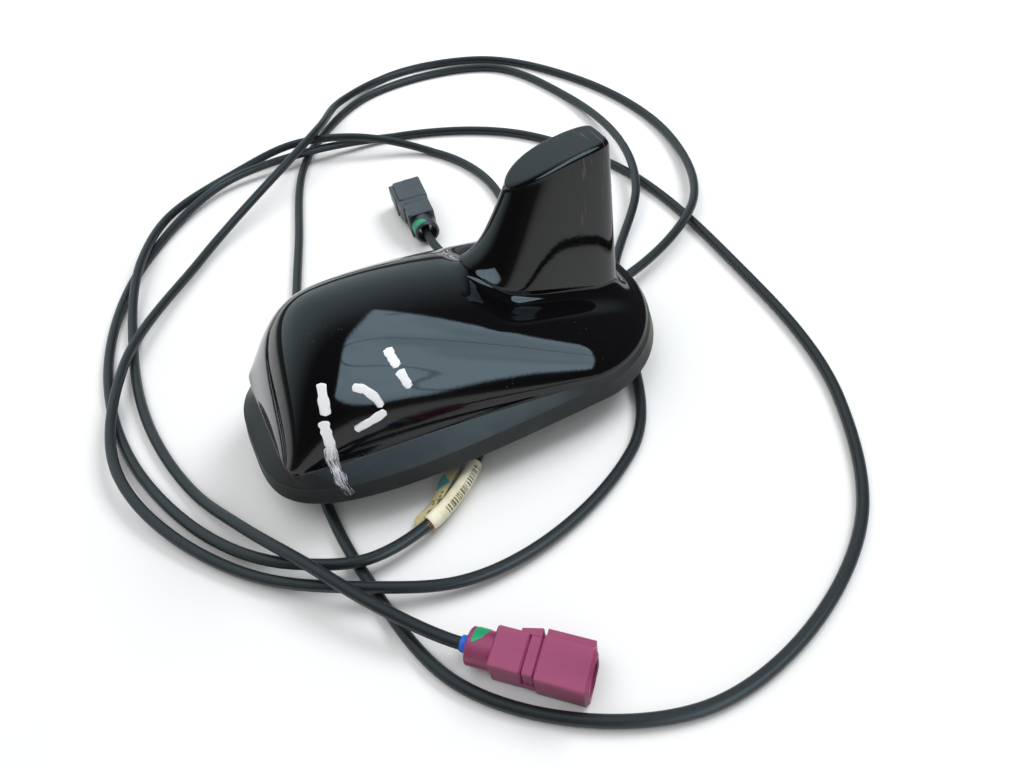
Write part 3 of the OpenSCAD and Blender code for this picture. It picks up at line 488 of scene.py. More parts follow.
class Shell:
    """Gathers closed skins into one mesh."""

    def __init__(self):
        self.points, self.faces, self.uv = [], [], []

    def add(self, points, faces, uv=None):
        base = len(self.points)
        self.points += [tuple(p) for p in points]
        self.faces += [[base + i for i in f] for f in faces]
        if uv is not None:
            self.uv += list(uv)
        return self

    def loft(self, rings, closed=False, caps=True):
        """Joins rings of equal count; outward when they turn anticlockwise seen from the last one."""
        n, m = len(rings[0]), len(rings)
        faces = []
        for r in range(m if closed else m - 1):
            a, b = r * n, (r + 1) % m * n
            faces += [[a + j, a + (j + 1) % n, b + (j + 1) % n, b + j] for j in range(n)]
        if caps and not closed:
            faces += [list(range(n))[::-1], [(m - 1) * n + j for j in range(n)]]
        return self.add([p for ring in rings for p in ring], faces)

    def block(self, low, high, edge=0.3, taper=None):
        """A box with eased edges; taper moves corners of its +X end."""
        bm = bmesh.new()
        bmesh.ops.create_cube(bm, size=1)
        low, high = np.array(low, float), np.array(high, float)
        for v in bm.verts:
            share = np.array(v.co) + 0.5
            v.co = Vector(low + (high - low) * share)
            if taper:
                v.co += Vector(taper(share))
        bmesh.ops.bevel(bm, geom=bm.edges[:], offset=edge, segments=2, affect="EDGES", profile=0.6)
        bm.verts.index_update()
        self.add([v.co[:] for v in bm.verts], [[v.index for v in f.verts] for f in bm.faces])
        bm.free()
        return self

    def moved(self, turn, shift):
        """Turns about Z by degrees and then shifts."""
        c, s = math.cos(math.radians(turn)), math.sin(math.radians(turn))
        p = np.array(self.points)
        xy = p[:, :2] @ np.array([[c, s], [-s, c]])
        self.points = list(np.column_stack([xy, p[:, 2]]) + np.array(shift))
        return self

    def piece(self, name, finish, slot, sharp=35):
        return add_piece(name, self.points, self.faces, finish, sharp, self.uv or None)


def smooth_way(way, step):
    """The leads' route: Hermite stretches through the points, as in the part's source."""
    p = np.array(way, float)
    h = np.linalg.norm(np.diff(p, axis=0), axis=1)
    t = np.empty_like(p)
    t[0], t[-1] = (p[1] - p[0]) / h[0], (p[-1] - p[-2]) / h[-1]
    a, b = h[:-1, None], h[1:, None]
    t[1:-1] = (a * (p[2:] - p[1:-1]) / b + b * (p[1:-1] - p[:-2]) / a) / (a + b)
    line = []
    for i, gap in enumerate(h):
        n = max(2, math.ceil(gap / step))
        u = (np.arange(n) / n)[:, None]
        line.append((2 * u**3 - 3 * u**2 + 1) * p[i] + (u**3 - 2 * u**2 + u) * gap * t[i]
                    + (3 * u**2 - 2 * u**3) * p[i + 1] + (u**3 - u**2) * gap * t[i + 1])
    line = np.vstack(line + [p[-1:]])
    line[:, 2] = np.maximum(line[:, 2], LEAD_R)
    return line


def frames_along(line):
    """Tangent and two normals at each point, carried along without twist."""
    t = np.gradient(line, axis=0)
    t /= np.linalg.norm(t, axis=1)[:, None]
    u = np.cross(t[0], (0, 0, 1) if abs(t[0][2]) < 0.9 else (1, 0, 0))
    u /= np.linalg.norm(u)
    us = []
    for tangent in t:
        u = u - tangent * (u @ tangent)
        u /= np.linalg.norm(u)
        us.append(u)
    us = np.array(us)
    return t, us, np.cross(t, us)


def tube(line, radius, sides, name, finish):
    """A round tube along a line, with a UV map that runs along it in metres and once round."""
    _, u, v = frames_along(line)
    run = np.concatenate([[0], np.cumsum(np.linalg.norm(np.diff(line, axis=0), axis=1))]) * MM
    angle = 2 * math.pi * np.arange(sides) / sides
    radius = np.broadcast_to(radius, len(line))
    points = line[:, None] + radius[:, None, None] * (
        np.cos(angle)[None, :, None] * u[:, None] + np.sin(angle)[None, :, None] * v[:, None])
    faces, uv = [], []
    for i in range(len(line) - 1):
        for k in range(sides):
            j = (k + 1) % sides
            faces.append([i * sides + k, i * sides + j, (i + 1) * sides + j, (i + 1) * sides + k])
            uv += [(run[i], k / sides), (run[i], (k + 1) / sides),
                   (run[i + 1], (k + 1) / sides), (run[i + 1], k / sides)]
    for base, order in ((0, -1), ((len(line) - 1) * sides, 1)):
        faces.append([base + k for k in range(sides)][::order])
        uv += [(run[0 if base == 0 else -1], 0.5)] * sides
    return add_piece(name, points.reshape(-1, 3), faces, finish, 50, uv)


# ---------------------------------------------------------------- leads


def outlet(side):
    """Down the shank and round the bend to its slot."""
    way = [(SHANK_X, side * LEAD_OFF, BOARD_Z - FIT)]
    for turn in (0, 30, 60, 90):
        a = math.radians(turn)
        way.append((SHANK_X, side * (LEAD_OFF + LEAD_BEND * (1 - math.cos(a))),
                    LEAD_R + LEAD_BEND * (1 - math.sin(a))))
    return way


def plug_point(lead, along):
    at, turn = PLUG_AT[lead]
    a = math.radians(turn)
    return (at[0] + along * math.cos(a), at[1] + along * math.sin(a), PLUG_Z)


LEAD_IN = COLLAR_LEN + REAR_LEN / 2
ROUTES = {
    "radio": outlet(-1) + RADIO_WAY + [plug_point("radio", -MARKER_LEN), plug_point("radio", LEAD_IN)],
    "phone": outlet(1) + PHONE_WAY + [plug_point("phone", -MARKER_LEN), plug_point("phone", LEAD_IN)],
}
lead_lines = {lead: smooth_way(way, 2.0) for lead, way in ROUTES.items()}
for lead, line in lead_lines.items():
    tube(line, LEAD_R, 14, lead + "_lead_jacket", LEAD_JACKET)
    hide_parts(lead + "_cable")

# ---------------------------------------------------------------- housing rules


def ease(t):
    t = np.clip(t, 0, 1)
    return t * t * (3 - 2 * t)


def reach(phi, front, rear):
    p = np.where(np.cos(phi) < 0, front, rear)
    return (np.abs(np.cos(phi)) ** p + np.abs(np.sin(phi)) ** p) ** (-1 / p)


def taper(x):
    return 1 + PLAN_TAPER * (x - WIDE_X) / NOSE_LEN


def plan(phi, inset):
    r = reach(phi, NOSE_POWER, REAR_POWER)
    x = WIDE_X + (np.where(np.cos(phi) < 0, NOSE_LEN, TAIL_LEN) - inset) * np.cos(phi) * r
    return x, (GASKET_W / 2 - inset) * taper(x) * np.sin(phi) * r


def fade(x):
    return 1 - 0.75 * ease(((x - NOSE_X) / GASKET_LEN - 0.3) / 0.7)


def crease_z(x):
    return RIM_Z + SKIRT_H * fade(x)


def crease_len(nose, skin):
    return np.where(nose, NOSE_LEN - NOSE_IN, TAIL_LEN - TAIL_IN) - skin


def crease_half(x, skin):
    return (CREASE_W / 2 - skin) * (1 + CREASE_TAPER * np.minimum(x - WIDE_X, 0) / NOSE_LEN)


def crease(phi, skin):
    """The dome's foot: square across the nose, and narrower towards it than the rim."""
    r = reach(phi, CREASE_POWER, REAR_POWER)
    x = WIDE_X + crease_len(np.cos(phi) < 0, skin) * np.cos(phi) * r
    return x, crease_half(x, skin) * np.sin(phi) * r, crease_z(x)


def half_width(x, skin):
    p = np.where(x < WIDE_X, CREASE_POWER, REAR_POWER)
    q = np.minimum(np.abs(x - WIDE_X) / crease_len(x < WIDE_X, skin), 1)
    return crease_half(x, skin) * (1 - q**p) ** (1 / p)


def crown(x, skin):
    low, high = NOSE_X + NOSE_IN + skin, TAIL_X - TAIL_IN - skin * 2.1
    s = np.clip(np.where(x < PEAK_X, (PEAK_X - x) / (PEAK_X - low), (x - PEAK_X) / (high - PEAK_X)), 0, 1)
    return (DOME_H - skin) * (1 - s ** np.where(x < PEAK_X, RISE_POWER, FALL_POWER))


def dome_z(x, y, skin=0):
    w = half_width(x, skin)
    u = np.where(w > 0, np.minimum(np.abs(y) / np.maximum(w, 1e-6), 1), 1)
    flank = NOSE_FLANK_POWER + (FLANK_POWER - NOSE_FLANK_POWER) * ease((x - NOSE_X) / (PEAK_X - NOSE_X))
    along = ease((x - 6) / 12) * (1 - ease((x - 42) / 9))
    valley = VALLEY_SHARE * crown(x, 0) * along * (1 - ease((np.abs(y) - 9) / 11))
    return crease_z(x) + crown(x, skin) * (1 - u * u) ** (1 / flank) - valley


def fin_plan(phi, front, rear, half):
    mid = front + (rear - front) * FIN_MID_SHARE
    r = reach(phi, FIN_FRONT_POWER, FIN_REAR_POWER)
    return mid + np.where(np.cos(phi) < 0, mid - front, rear - mid) * np.cos(phi) * r, half * np.sin(phi) * r


def fin_top_z(x):
    front, rear = TOP_PEAK_X - TOP_FRONT_X, FIN_REAR_X - TOP_PEAK_X
    back = TOP_REAR_DROP * (np.maximum(x - TOP_PEAK_X, 0) / rear) ** TOP_REAR_POWER
    ahead = np.where(x > TOP_FRONT_X, TOP_FRONT_DROP * (np.maximum(TOP_PEAK_X - x, 0) / front) ** TOP_FRONT_POWER,
                     TOP_FRONT_DROP * (1 + TOP_FRONT_POWER * (TOP_FRONT_X - x) / front))
    return FOOT_Z + FIN_H - np.where(x > TOP_PEAK_X, back, ahead)


AROUND = 240
PHI = 2 * math.pi * np.arange(AROUND) / AROUND


def dome_ring(share, skin):
    x0, y0, z0 = crease(PHI, skin)
    x1, y1 = fin_plan(PHI, FIN_FRONT_X - FILLET_FRONT, FIN_REAR_X + FILLET_REAR, FIN_FOOT_T / 2 + FILLET_SIDE)
    x, y = x0 + (x1 - x0) * share, y0 + (y1 - y0) * share
    return np.column_stack([x, y, z0 if share == 0 else dome_z(x, y, skin)])


def fillet_ring(turn, skin):
    out = 1 - math.sin(turn)
    x, y = fin_plan(PHI, FIN_FRONT_X + skin - (FILLET_FRONT + skin) * out,
                    FIN_REAR_X - skin + (FILLET_REAR + skin) * out,
                    FIN_FOOT_T / 2 - skin + (FILLET_SIDE + skin) * out)
    return np.column_stack([x, y, dome_z(x, y, skin) + (FILLET_H + skin) * (1 - math.cos(turn))])


def fin_ring(level, edge, skin):
    r = 0 if skin else FIN_EDGE_R
    back, down = r * (1 - math.cos(edge)), skin + r * (1 - math.sin(edge))
    front = FIN_FRONT_X + (TOP_FRONT_X - FIN_FRONT_X) * level**LEAN_POWER + skin + back
    half = (FIN_FOOT_T + (FIN_TOP_T - FIN_FOOT_T) * level) / 2 - skin - back
    x, y = fin_plan(PHI, front, FIN_REAR_X - skin - back, half)
    low = dome_z(x, y, skin) + FILLET_H + skin
    return np.column_stack([x, y, low + (fin_top_z(x) - down - low) * level])


def flat_ring(inset, z):
    x, y = plan(PHI, inset)
    return np.column_stack([x, y, np.full_like(x, z)])


def strip_cap(shell, ring, upward=True):
    """Closes a ring with strips across it, which keep its curve."""
    n = len(ring)
    faces = [[0, 1, n - 1]]
    faces += [[j, j + 1, n - j - 1, n - j] for j in range(1, n // 2 - 1)]
    faces += [[n // 2 - 1, n // 2, n // 2 + 1]]
    shell.add(ring, faces if upward else [f[::-1] for f in faces])


def make_cover():
    """One moulding with its wall: down inside from the fin's hollow, round the rim and up outside."""
    quarter = math.pi / 2
    inner = [fin_ring(j / 8, 0, WALL) for j in range(8, 0, -1)]
    inner += [fillet_ring(quarter * j / 6, WALL) for j in range(6, 0, -1)]
    inner += [dome_ring((j / 16) ** 1.5, WALL) for j in range(16, -1, -1)]
    inner.append(flat_ring(GASKET_FLARE + WALL, RIM_Z))
    foot = flat_ring(GASKET_FLARE, RIM_Z)
    lower, upper = dome_ring(0, 0), dome_ring(0.0004, 0)
    outer = [foot, foot + (lower - foot) * 0.12, foot + (lower - foot) * 0.88,
             foot + (lower - foot) * 0.97 + (upper - lower) * 0.3]
    outer += [dome_ring((j / 48) ** 1.5, 0) for j in range(1, 49)]
    outer += [fillet_ring(quarter * j / 14, 0) for j in range(1, 15)]
    outer += [fin_ring(j / 30, 0, 0) for j in range(1, 31)]
    outer += [fin_ring(1, quarter * j / 6, 0) for j in range(1, 7)]
    shell = Shell().loft(inner + outer, caps=False)
    strip_cap(shell, inner[0], upward=False)
    strip_cap(shell, outer[-1])
    turn = 2 * math.pi * np.arange(32) / 32
    for x, half in ((NOSE_X + BOSS_FRONT, BOSS_FRONT_Y), (TAIL_X - BOSS_REAR, BOSS_REAR_Y)):
        top = float(dome_z(x, half + BOSS_R)) - WALL / 2
        for y in (-half, half):
            rings = [np.column_stack([x + r * np.cos(turn), y + r * np.sin(turn), np.full_like(turn, z)])
                     for r, z in ((0.01, PLATE_TOP + SCREW_LEN), (SCREW_R + FIT, PLATE_TOP + SCREW_LEN),
                                  (SCREW_R + FIT, PLATE_TOP), (BOSS_R, PLATE_TOP), (BOSS_R, top))]
            shell.loft(rings)
    return shell.piece("cover_moulding", GLOSS_BLACK, "gloss_black", 30)


cover_moulding = make_cover()
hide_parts("cover")


def make_gasket():
    """Rubber rim with a rounded foot and a sealing groove below."""
    inner = GASKET_FLARE + GASKET_RIM
    section = [
        (GASKET_FLARE, RIM_Z), (GASKET_FLARE - 0.1, RIM_Z - 0.05), (0.42, FOOT_Z + 1.2), (0.12, FOOT_Z + 0.5),
        (0.14, FOOT_Z + 0.12), (0.3, FOOT_Z), (GASKET_FLARE, FOOT_Z), (GASKET_FLARE + 0.5, FOOT_Z + GROOVE_H),
        (GASKET_FLARE + 1, FOOT_Z), (inner + LIP_W - 0.2, FOOT_Z), (inner + LIP_W, FOOT_Z + 0.2),
        (inner + LIP_W, PLATE_Z), (inner, PLATE_Z), (inner, RIM_Z)]
    rings = [flat_ring(inset, z) for inset, z in section[::-1]]
    return Shell().loft(rings, closed=True).piece("gasket_rim", GASKET_RUBBER, "gasket_rubber", 40)


gasket_rim = make_gasket()
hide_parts("gasket")

# ---------------------------------------------------------------- plugs

SECTION = 2 * math.pi * np.arange(72) / 72


def section(x, half_y, half_z, power=2.0):
    r = (np.abs(np.cos(SECTION)) ** power + np.abs(np.sin(SECTION)) ** power) ** (-1 / power)
    return np.column_stack([np.full_like(SECTION, x), half_y * np.cos(SECTION) * r, half_z * np.sin(SECTION) * r])


def plug_housing(lead, finish, slot):
    """Collar, rear box, neck with its ridge, front box with the bore, latch and guide rail."""
    rear_x, neck_x = COLLAR_LEN, COLLAR_LEN + REAR_LEN
    front_x, box = neck_x + NECK_LEN, 18
    bore_x, hole = PLUG_LEN - MATE_LEN, FERRULE_R + FIT
    h, e = PLUG_H / 2, 0.35
    low_y, low_z = REAR_W / 2 - NECK_STEP, h - NECK_STEP
    ridge_y, ridge_z = REAR_W / 2 - 0.15, h - 0.2
    rings = [section(2.4, hole, hole), section(0.3, 3.3, 3.3), section(0, 3.5, 3.5),
             section(0, COLLAR_R - e, COLLAR_R - e), section(e, COLLAR_R, COLLAR_R),
             section(rear_x, COLLAR_R, COLLAR_R), section(rear_x, REAR_W / 2 - e, h - e, box),
             section(rear_x + e, REAR_W / 2, h, box), section(neck_x - e, REAR_W / 2, h, box),
             section(neck_x, REAR_W / 2 - e, h - e, box), section(neck_x, low_y, low_z, box),
             section(neck_x + 0.18, low_y, low_z, box), section(neck_x + 0.28, ridge_y - 0.15, ridge_z - 0.15, box),
             section(neck_x + 0.43, ridge_y, ridge_z, box), section(front_x - 0.43, ridge_y, ridge_z, box),
             section(front_x - 0.28, ridge_y - 0.15, ridge_z - 0.15, box), section(front_x - 0.18, low_y, low_z, box),
             section(front_x, low_y, low_z, box),
             section(front_x, FRONT_W / 2 - e, h - e, box), section(front_x + e, FRONT_W / 2, h, box),
             section(PLUG_LEN - 0.9, FRONT_W / 2, h, box), section(PLUG_LEN, FRONT_W / 2 - 0.8, h - 0.8, box),
             section(PLUG_LEN, MATE_R + 0.2, MATE_R + 0.2), section(PLUG_LEN - 0.2, MATE_R, MATE_R),
             section(bore_x, MATE_R, MATE_R), section(bore_x, hole, hole)]
    shell = Shell().loft(rings, closed=True)
    far = REAR_W / 2 + LATCH_H

    def ramp(share):
        return (0, -1.1 * share[1] if share[0] < 0.5 else 0, 0)

    # latch over the neck, its root beside the rear box, then a gap and the guide rail
    shell.block((neck_x - 2.2, REAR_W / 2 - 0.6, -2), (front_x - 0.4, far, h - 0.15), 0.25, ramp)
    shell.block((front_x + 0.35, FRONT_W / 2 - 0.6, -2), (PLUG_LEN - 0.8, FRONT_W / 2 + LATCH_H, h - 0.75), 0.25)
    shell.block((neck_x - 0.3, -REAR_W / 2 - 0.25, -3.2), (front_x + 1.4, -REAR_W / 2 + 0.6, -1.4), 0.15)
    at, turn = PLUG_AT[lead]
    shell.moved(turn, (*at, PLUG_Z))
    piece = shell.piece(lead + "_plug_housing", finish, slot, 30)
    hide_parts(lead + "_plug_body")
    return piece


def plug_clip(lead):
    """The green retainer: a curved leaf let into the collar, broad at its back and narrow in front."""
    rings = []
    for x, first, last in ((1.1, 14, 96), (1.5, 12, 98), (2.9, 12, 84), (4.1, 12, 52), (4.3, 14, 46)):
        a = np.radians(np.linspace(first, last, 16))
        r = COLLAR_R + (0.14 if 1.1 < x < 4.3 else 0.0)
        outer = np.column_stack([np.full_like(a, x), r * np.cos(a), r * np.sin(a)])
        inner = np.column_stack([np.full_like(a, x), 3.4 * np.cos(a), 3.4 * np.sin(a)])[::-1]
        rings.append(np.vstack([outer, inner]))
    at, turn = PLUG_AT[lead]
    shell = Shell().loft(rings).moved(turn, (*at, PLUG_Z))
    piece = shell.piece(lead + "_plug_clip", LOCK_GREEN, "lock_green", 30)
    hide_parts(lead + "_plug_lock")
    return piece


housings = {"phone": plug_housing("phone", BORDEAUX, "plug_bordeaux"),
            "radio": plug_housing("radio", PLUG_BLACK, "plug_black")}
clips = {lead: plug_clip(lead) for lead in ("phone", "radio")}

# ---------------------------------------------------------------- what sits on the leads


def stretch(lead, start, end, past=0.0):
    """The lead's line between two of its way points, and past the second one in millimetres."""
    line = lead_lines[lead]
    first, last = (int(np.argmin(np.linalg.norm(line - np.array(p), axis=1))) for p in (start, end))
    run = np.concatenate([[0], np.cumsum(np.linalg.norm(np.diff(line, axis=0), axis=1))])
    at = np.linspace(run[first], run[last] + past, 48)
    return np.column_stack([np.interp(at, run, line[:, k]) for k in range(3)])


def sleeve(line, outer, bore, name, finish):
    """A round sleeve with its bore, with a UV map along and once round it."""
    sides = 40
    _, u, v = frames_along(line)
    run = np.concatenate([[0], np.cumsum(np.linalg.norm(np.diff(line, axis=0), axis=1))]) * MM
    angle = 2 * math.pi * np.arange(sides) / sides
    ease_end = [0, 1] + [1] * (len(line) - 4) + [1, 0]
    rings = [line[i] + (outer - 0.15 * (1 - ease_end[i])) * (
        np.cos(angle)[:, None] * u[i] + np.sin(angle)[:, None] * v[i]) for i in range(len(line))]
    rings += [line[i] + bore * (np.cos(angle)[:, None] * u[i] + np.sin(angle)[:, None] * v[i])
              for i in (len(line) - 1, len(line) // 2, 0)]
    along = list(run) + [run[-1], run[len(line) // 2], 0]
    faces, uv, m = [], [], len(rings)
    for r in range(m):
        a, b = r * sides, (r + 1) % m * sides
        for k in range(sides):
            j = (k + 1) % sides
            faces.append([a + k, a + j, b + j, b + k])
            x0, x1 = along[r], along[(r + 1) % m]
            uv += [(x0, k / sides), (x0, (k + 1) / sides), (x1, (k + 1) / sides), (x1, k / sides)]
    return add_piece(name, np.vstack(rings), faces, finish, 50, uv)


def sight(across, down):
    """The line of sight through a place in the frame."""
    return (EYE_AHEAD + EYE_RIGHT * (across - 512) / FOCAL_PX + EYE_DOWN * (down - 384) / FOCAL_PX).normalized()


def sight_at(across, down, height):
    """Where that line meets a level, in millimetres."""
    way = sight(across, down)
    return np.array(EYE + way * ((height * MM - EYE.z) / way.z)) / MM


def leaf(near, far, heights, start, name, finish, thick=0.22):
    """A film leaf between two traced edges, each at its own height; start is where its print begins."""
    t = np.linspace(0, 1, 26)
    edges = []
    for trace, height in zip((near, far), heights):
        points = [sight_at(*p, height) for p in trace]
        gap = np.concatenate([[0], np.cumsum(np.linalg.norm(np.diff(points, axis=0), axis=1))])
        edge = np.column_stack([np.interp(t * gap[-1], gap, np.array(points)[:, q]) for q in range(3)])
        for _ in range(3):
            edge[1:-1] = (edge[:-2] + 2 * edge[1:-1] + edge[2:]) / 4
        edges.append(edge)
    across = np.linspace(0, 1, 9)
    run = start + np.concatenate([[0], np.cumsum(np.linalg.norm(np.diff(edges[0], axis=0), axis=1))]) * MM
    grid = []
    for i in range(len(t)):
        row = edges[0][i] + (edges[1][i] - edges[0][i]) * across[:, None]
        row[:, 2] += 0.3 * np.sin(across * math.pi) * (1 + 0.5 * np.sin(i * 0.4))
        grid.append(row)
    grid = np.array(grid)
    n, m = grid.shape[:2]
    top, below = grid + (0, 0, thick / 2), grid - (0, 0, thick / 2)
    points = np.vstack([top.reshape(-1, 3), below.reshape(-1, 3)])
    faces, uv, low = [], [], n * m

    def place(k):
        k %= low
        return run[k // m], across[k % m]

    for i in range(n - 1):
        for j in range(m - 1):
            a, b, c, d = i * m + j, i * m + j + 1, (i + 1) * m + j + 1, (i + 1) * m + j
            faces += [[a, d, c, b], [low + a, low + b, low + c, low + d]]
    edge = [j for j in range(m)] + [i * m + m - 1 for i in range(1, n)]
    edge += [(n - 1) * m + j for j in range(m - 2, -1, -1)] + [i * m for i in range(n - 2, 0, -1)]
    for a, b in zip(edge, edge[1:] + edge[:1]):
        faces.append([a, b, low + b, low + a])
    for f in faces:
        uv += [place(k) for k in f]
    return add_piece(name, points, faces, finish, 50, uv)


label_line = stretch("radio", RADIO_WAY[0], RADIO_WAY[1], 1.2)
label_tube = sleeve(label_line, 2.15, LEAD_R + 0.06, "label_tube", LABEL_PAPER)
flag_low = leaf([(438, 500), (435, 510), (433, 519), (430, 527)],
                [(431, 503), (424, 510), (417, 516), (413.6, 522), (415, 529), (424, 531)],
                (3.2, 1.3), 0.014, "label_flag", FLAG_FILM)
flag_high = leaf([(459, 470), (450, 485), (443, 498)],
                 [(449, 470), (443, 475), (439, 482), (436, 492), (431, 502)],
                 (3.6, 2.6), 0, "label_flag_fold", FLAG_FILM)
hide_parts("cable_label")


def frayed_end():
    """Brown threads of old adhesive at the label's lower end."""
    shell, rng = Shell(), np.random.default_rng(4)
    tip, back = label_line[-1], label_line[-4]
    ahead = (tip - back) / np.linalg.norm(tip - back)
    side = np.array([ahead[1], -ahead[0], 0])
    turn = 2 * math.pi * np.arange(6) / 6
    for _ in range(14):
        a = rng.uniform(2.2, 4.4)
        root = tip + 1.85 * (math.cos(a) * side + math.sin(a) * np.array([0, 0, -1])) - ahead * 0.4
        way = ahead * rng.uniform(0.7, 1.9) + rng.normal(0, 0.45, 3)
        rings = []
        for q in (0, 0.5, 1):
            middle = root + way * q + np.array([0, 0, -0.3 * q * q])
            r = 0.16 * (1 - 0.8 * q)
            rings.append(middle + r * (np.cos(turn)[:, None] * side + np.sin(turn)[:, None] * np.array([0, 0, 1.0])))
        shell.loft(rings)
    return shell.piece("label_frayed_end", FRAYED_BROWN, "label_paper")


frayed = frayed_end()


def marker():
    at, turn = PLUG_AT["phone"]
    heading = np.array([math.cos(math.radians(turn)), math.sin(math.radians(turn)), 0])
    line = np.array([*at, PLUG_Z]) + heading * np.linspace(-1.9, 1.6, 12)[:, None]
    piece = sleeve(line, 1.95, LEAD_R + 0.05, "marker_band", SLEEVE_BLUE)
    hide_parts("marker_sleeve")
    return piece


marker_band = marker()

# ---------------------------------------------------------------- paint-pen dashes on the dome

cover_faces = BVHTree.FromPolygons([v.co[:] for v in cover_moulding.data.vertices],
                                   [p.vertices[:] for p in cover_moulding.data.polygons])
gasket_faces = BVHTree.FromPolygons([v.co[:] for v in gasket_rim.data.vertices],
                                    [p.vertices[:] for p in gasket_rim.data.polygons])


def touch(across, down):
    """Where the line of sight through a place in the frame meets the housing, in millimetres."""
    way = sight(across, down)
    found = [hit for hit in (tree.ray_cast(EYE, way) for tree in (cover_faces, gasket_faces)) if hit[0]]
    at, normal = min(found, key=lambda hit: hit[3])[:2]
    return np.array(at) / MM, np.array(normal)


def pen_dash(shell, corners, width, seed):
    """A paint stroke laid on the cover, with an uneven edge and rounded ends."""
    rng = np.random.default_rng(seed)
    corners = np.array(corners, float)
    run = np.concatenate([[0], np.cumsum(np.linalg.norm(np.diff(corners, axis=0), axis=1))])
    n = max(12, int(run[-1] / 1.2))
    at = np.linspace(0, run[-1], n)
    pixels = np.column_stack([np.interp(at, run, corners[:, k]) for k in (0, 1)])
    for _ in range(3):
        pixels[1:-1] = (pixels[:-2] + 2 * pixels[1:-1] + pixels[2:]) / 4
    spots = [touch(*p) for p in pixels]
    line, normals = np.array([a for a, _ in spots]), np.array([b for _, b in spots])
    t = np.gradient(line, axis=0)
    side = np.cross(normals, t)
    side /= np.linalg.norm(side, axis=1)[:, None]
    share = np.linspace(0, 1, n)
    uneven = np.interp(share, np.linspace(0, 1, 9), rng.uniform(0.82, 1.12, 9))
    ends = np.sqrt(np.clip(1 - np.clip(abs(share - 0.5) * 2 - 0.85, 0, 1) ** 2 / 0.0225, 0.02, 1))
    half = width / 2 * uneven * ends
    turn = 2 * math.pi * np.arange(12) / 12
    base, rings = len(shell.points), []
    for i in range(n):
        rings.append(line[i] + side[i] * (half[i] * np.cos(turn))[:, None]
                     + normals[i] * (0.02 + 0.07 * np.sin(turn))[:, None])
    rings = rings[::-1]
    m = 12
    faces, uv = [], []
    for r in range(n - 1):
        for j in range(m):
            k = (j + 1) % m
            faces.append([r * m + j, r * m + k, (r + 1) * m + k, (r + 1) * m + j])
            x0, x1 = 1 - r / (n - 1), 1 - (r + 1) / (n - 1)
            y0, y1 = (0.5 + 0.5 * math.cos(turn[q]) for q in (j, k))
            uv += [(x0, y0), (x0, y1), (x1, y1), (x1, y0)]
    faces += [list(range(m))[::-1], [(n - 1) * m + j for j in range(m)]]
    uv += [(1, 0.5)] * m + [(0, 0.5)] * m
    shell.points += [tuple(p) for ring in rings for p in ring]
    shell.faces += [[base + i for i in f] for f in faces]
    shell.uv += uv


def pen_dashes():
    shell = Shell()
    for seed, (width, corners) in enumerate((
            (2.6, ((321, 383), (323, 398), (326, 416))),
            (2.6, ((323, 421), (327, 435), (332, 450))),
            (2.3, ((352, 387), (364, 389), (375, 397), (382, 407))),
            (2.4, ((386, 411), (373, 420), (355, 430))),
            (2.4, ((387, 348), (392, 358), (398, 367))),
            (2.4, ((399, 370), (404, 378), (410, 388))))):
        pen_dash(shell, corners, width, seed)
    return shell.piece("pen_dashes", PEN_PAINT, "gloss_black", 60)


def pen_smear():
    """The dry end of a stroke, dragged down over the skirt and the gasket's rim."""
    shell = Shell()
    pen_dash(shell, ((329, 446), (332, 458), (337, 472), (343, 484), (351, 495)), 3.4, 11)
    return shell.piece("pen_smear", PEN_SMEAR, "gloss_black", 60)


dashes = pen_dashes()
smear = pen_smear()

# ---------------------------------------------------------------- thread on the shank


def thread_ridge():
    """One ridge round a side of the shank between its slots, rising by half a pitch."""
    half = math.pi / 2 - math.asin((SLOT_W / 2 + 0.2) / SHANK_R)
    rings = []
    for a in np.linspace(-half, half, 40):
        rise = THREAD_PITCH * a / (2 * math.pi)
        rings.append([(r * math.cos(a), r * math.sin(a), rise + z) for r, z in (
            (SHANK_R - 0.3, -0.52), (SHANK_R + 0.24, -0.1), (SHANK_R + 0.24, 0.1), (SHANK_R - 0.3, 0.52))])
    shell = Shell().loft(rings)
    mesh = bpy.data.meshes.new("thread_ridge")
    mesh.from_pydata((np.asarray(shell.points) * MM).tolist(), [], shell.faces)
    return mesh


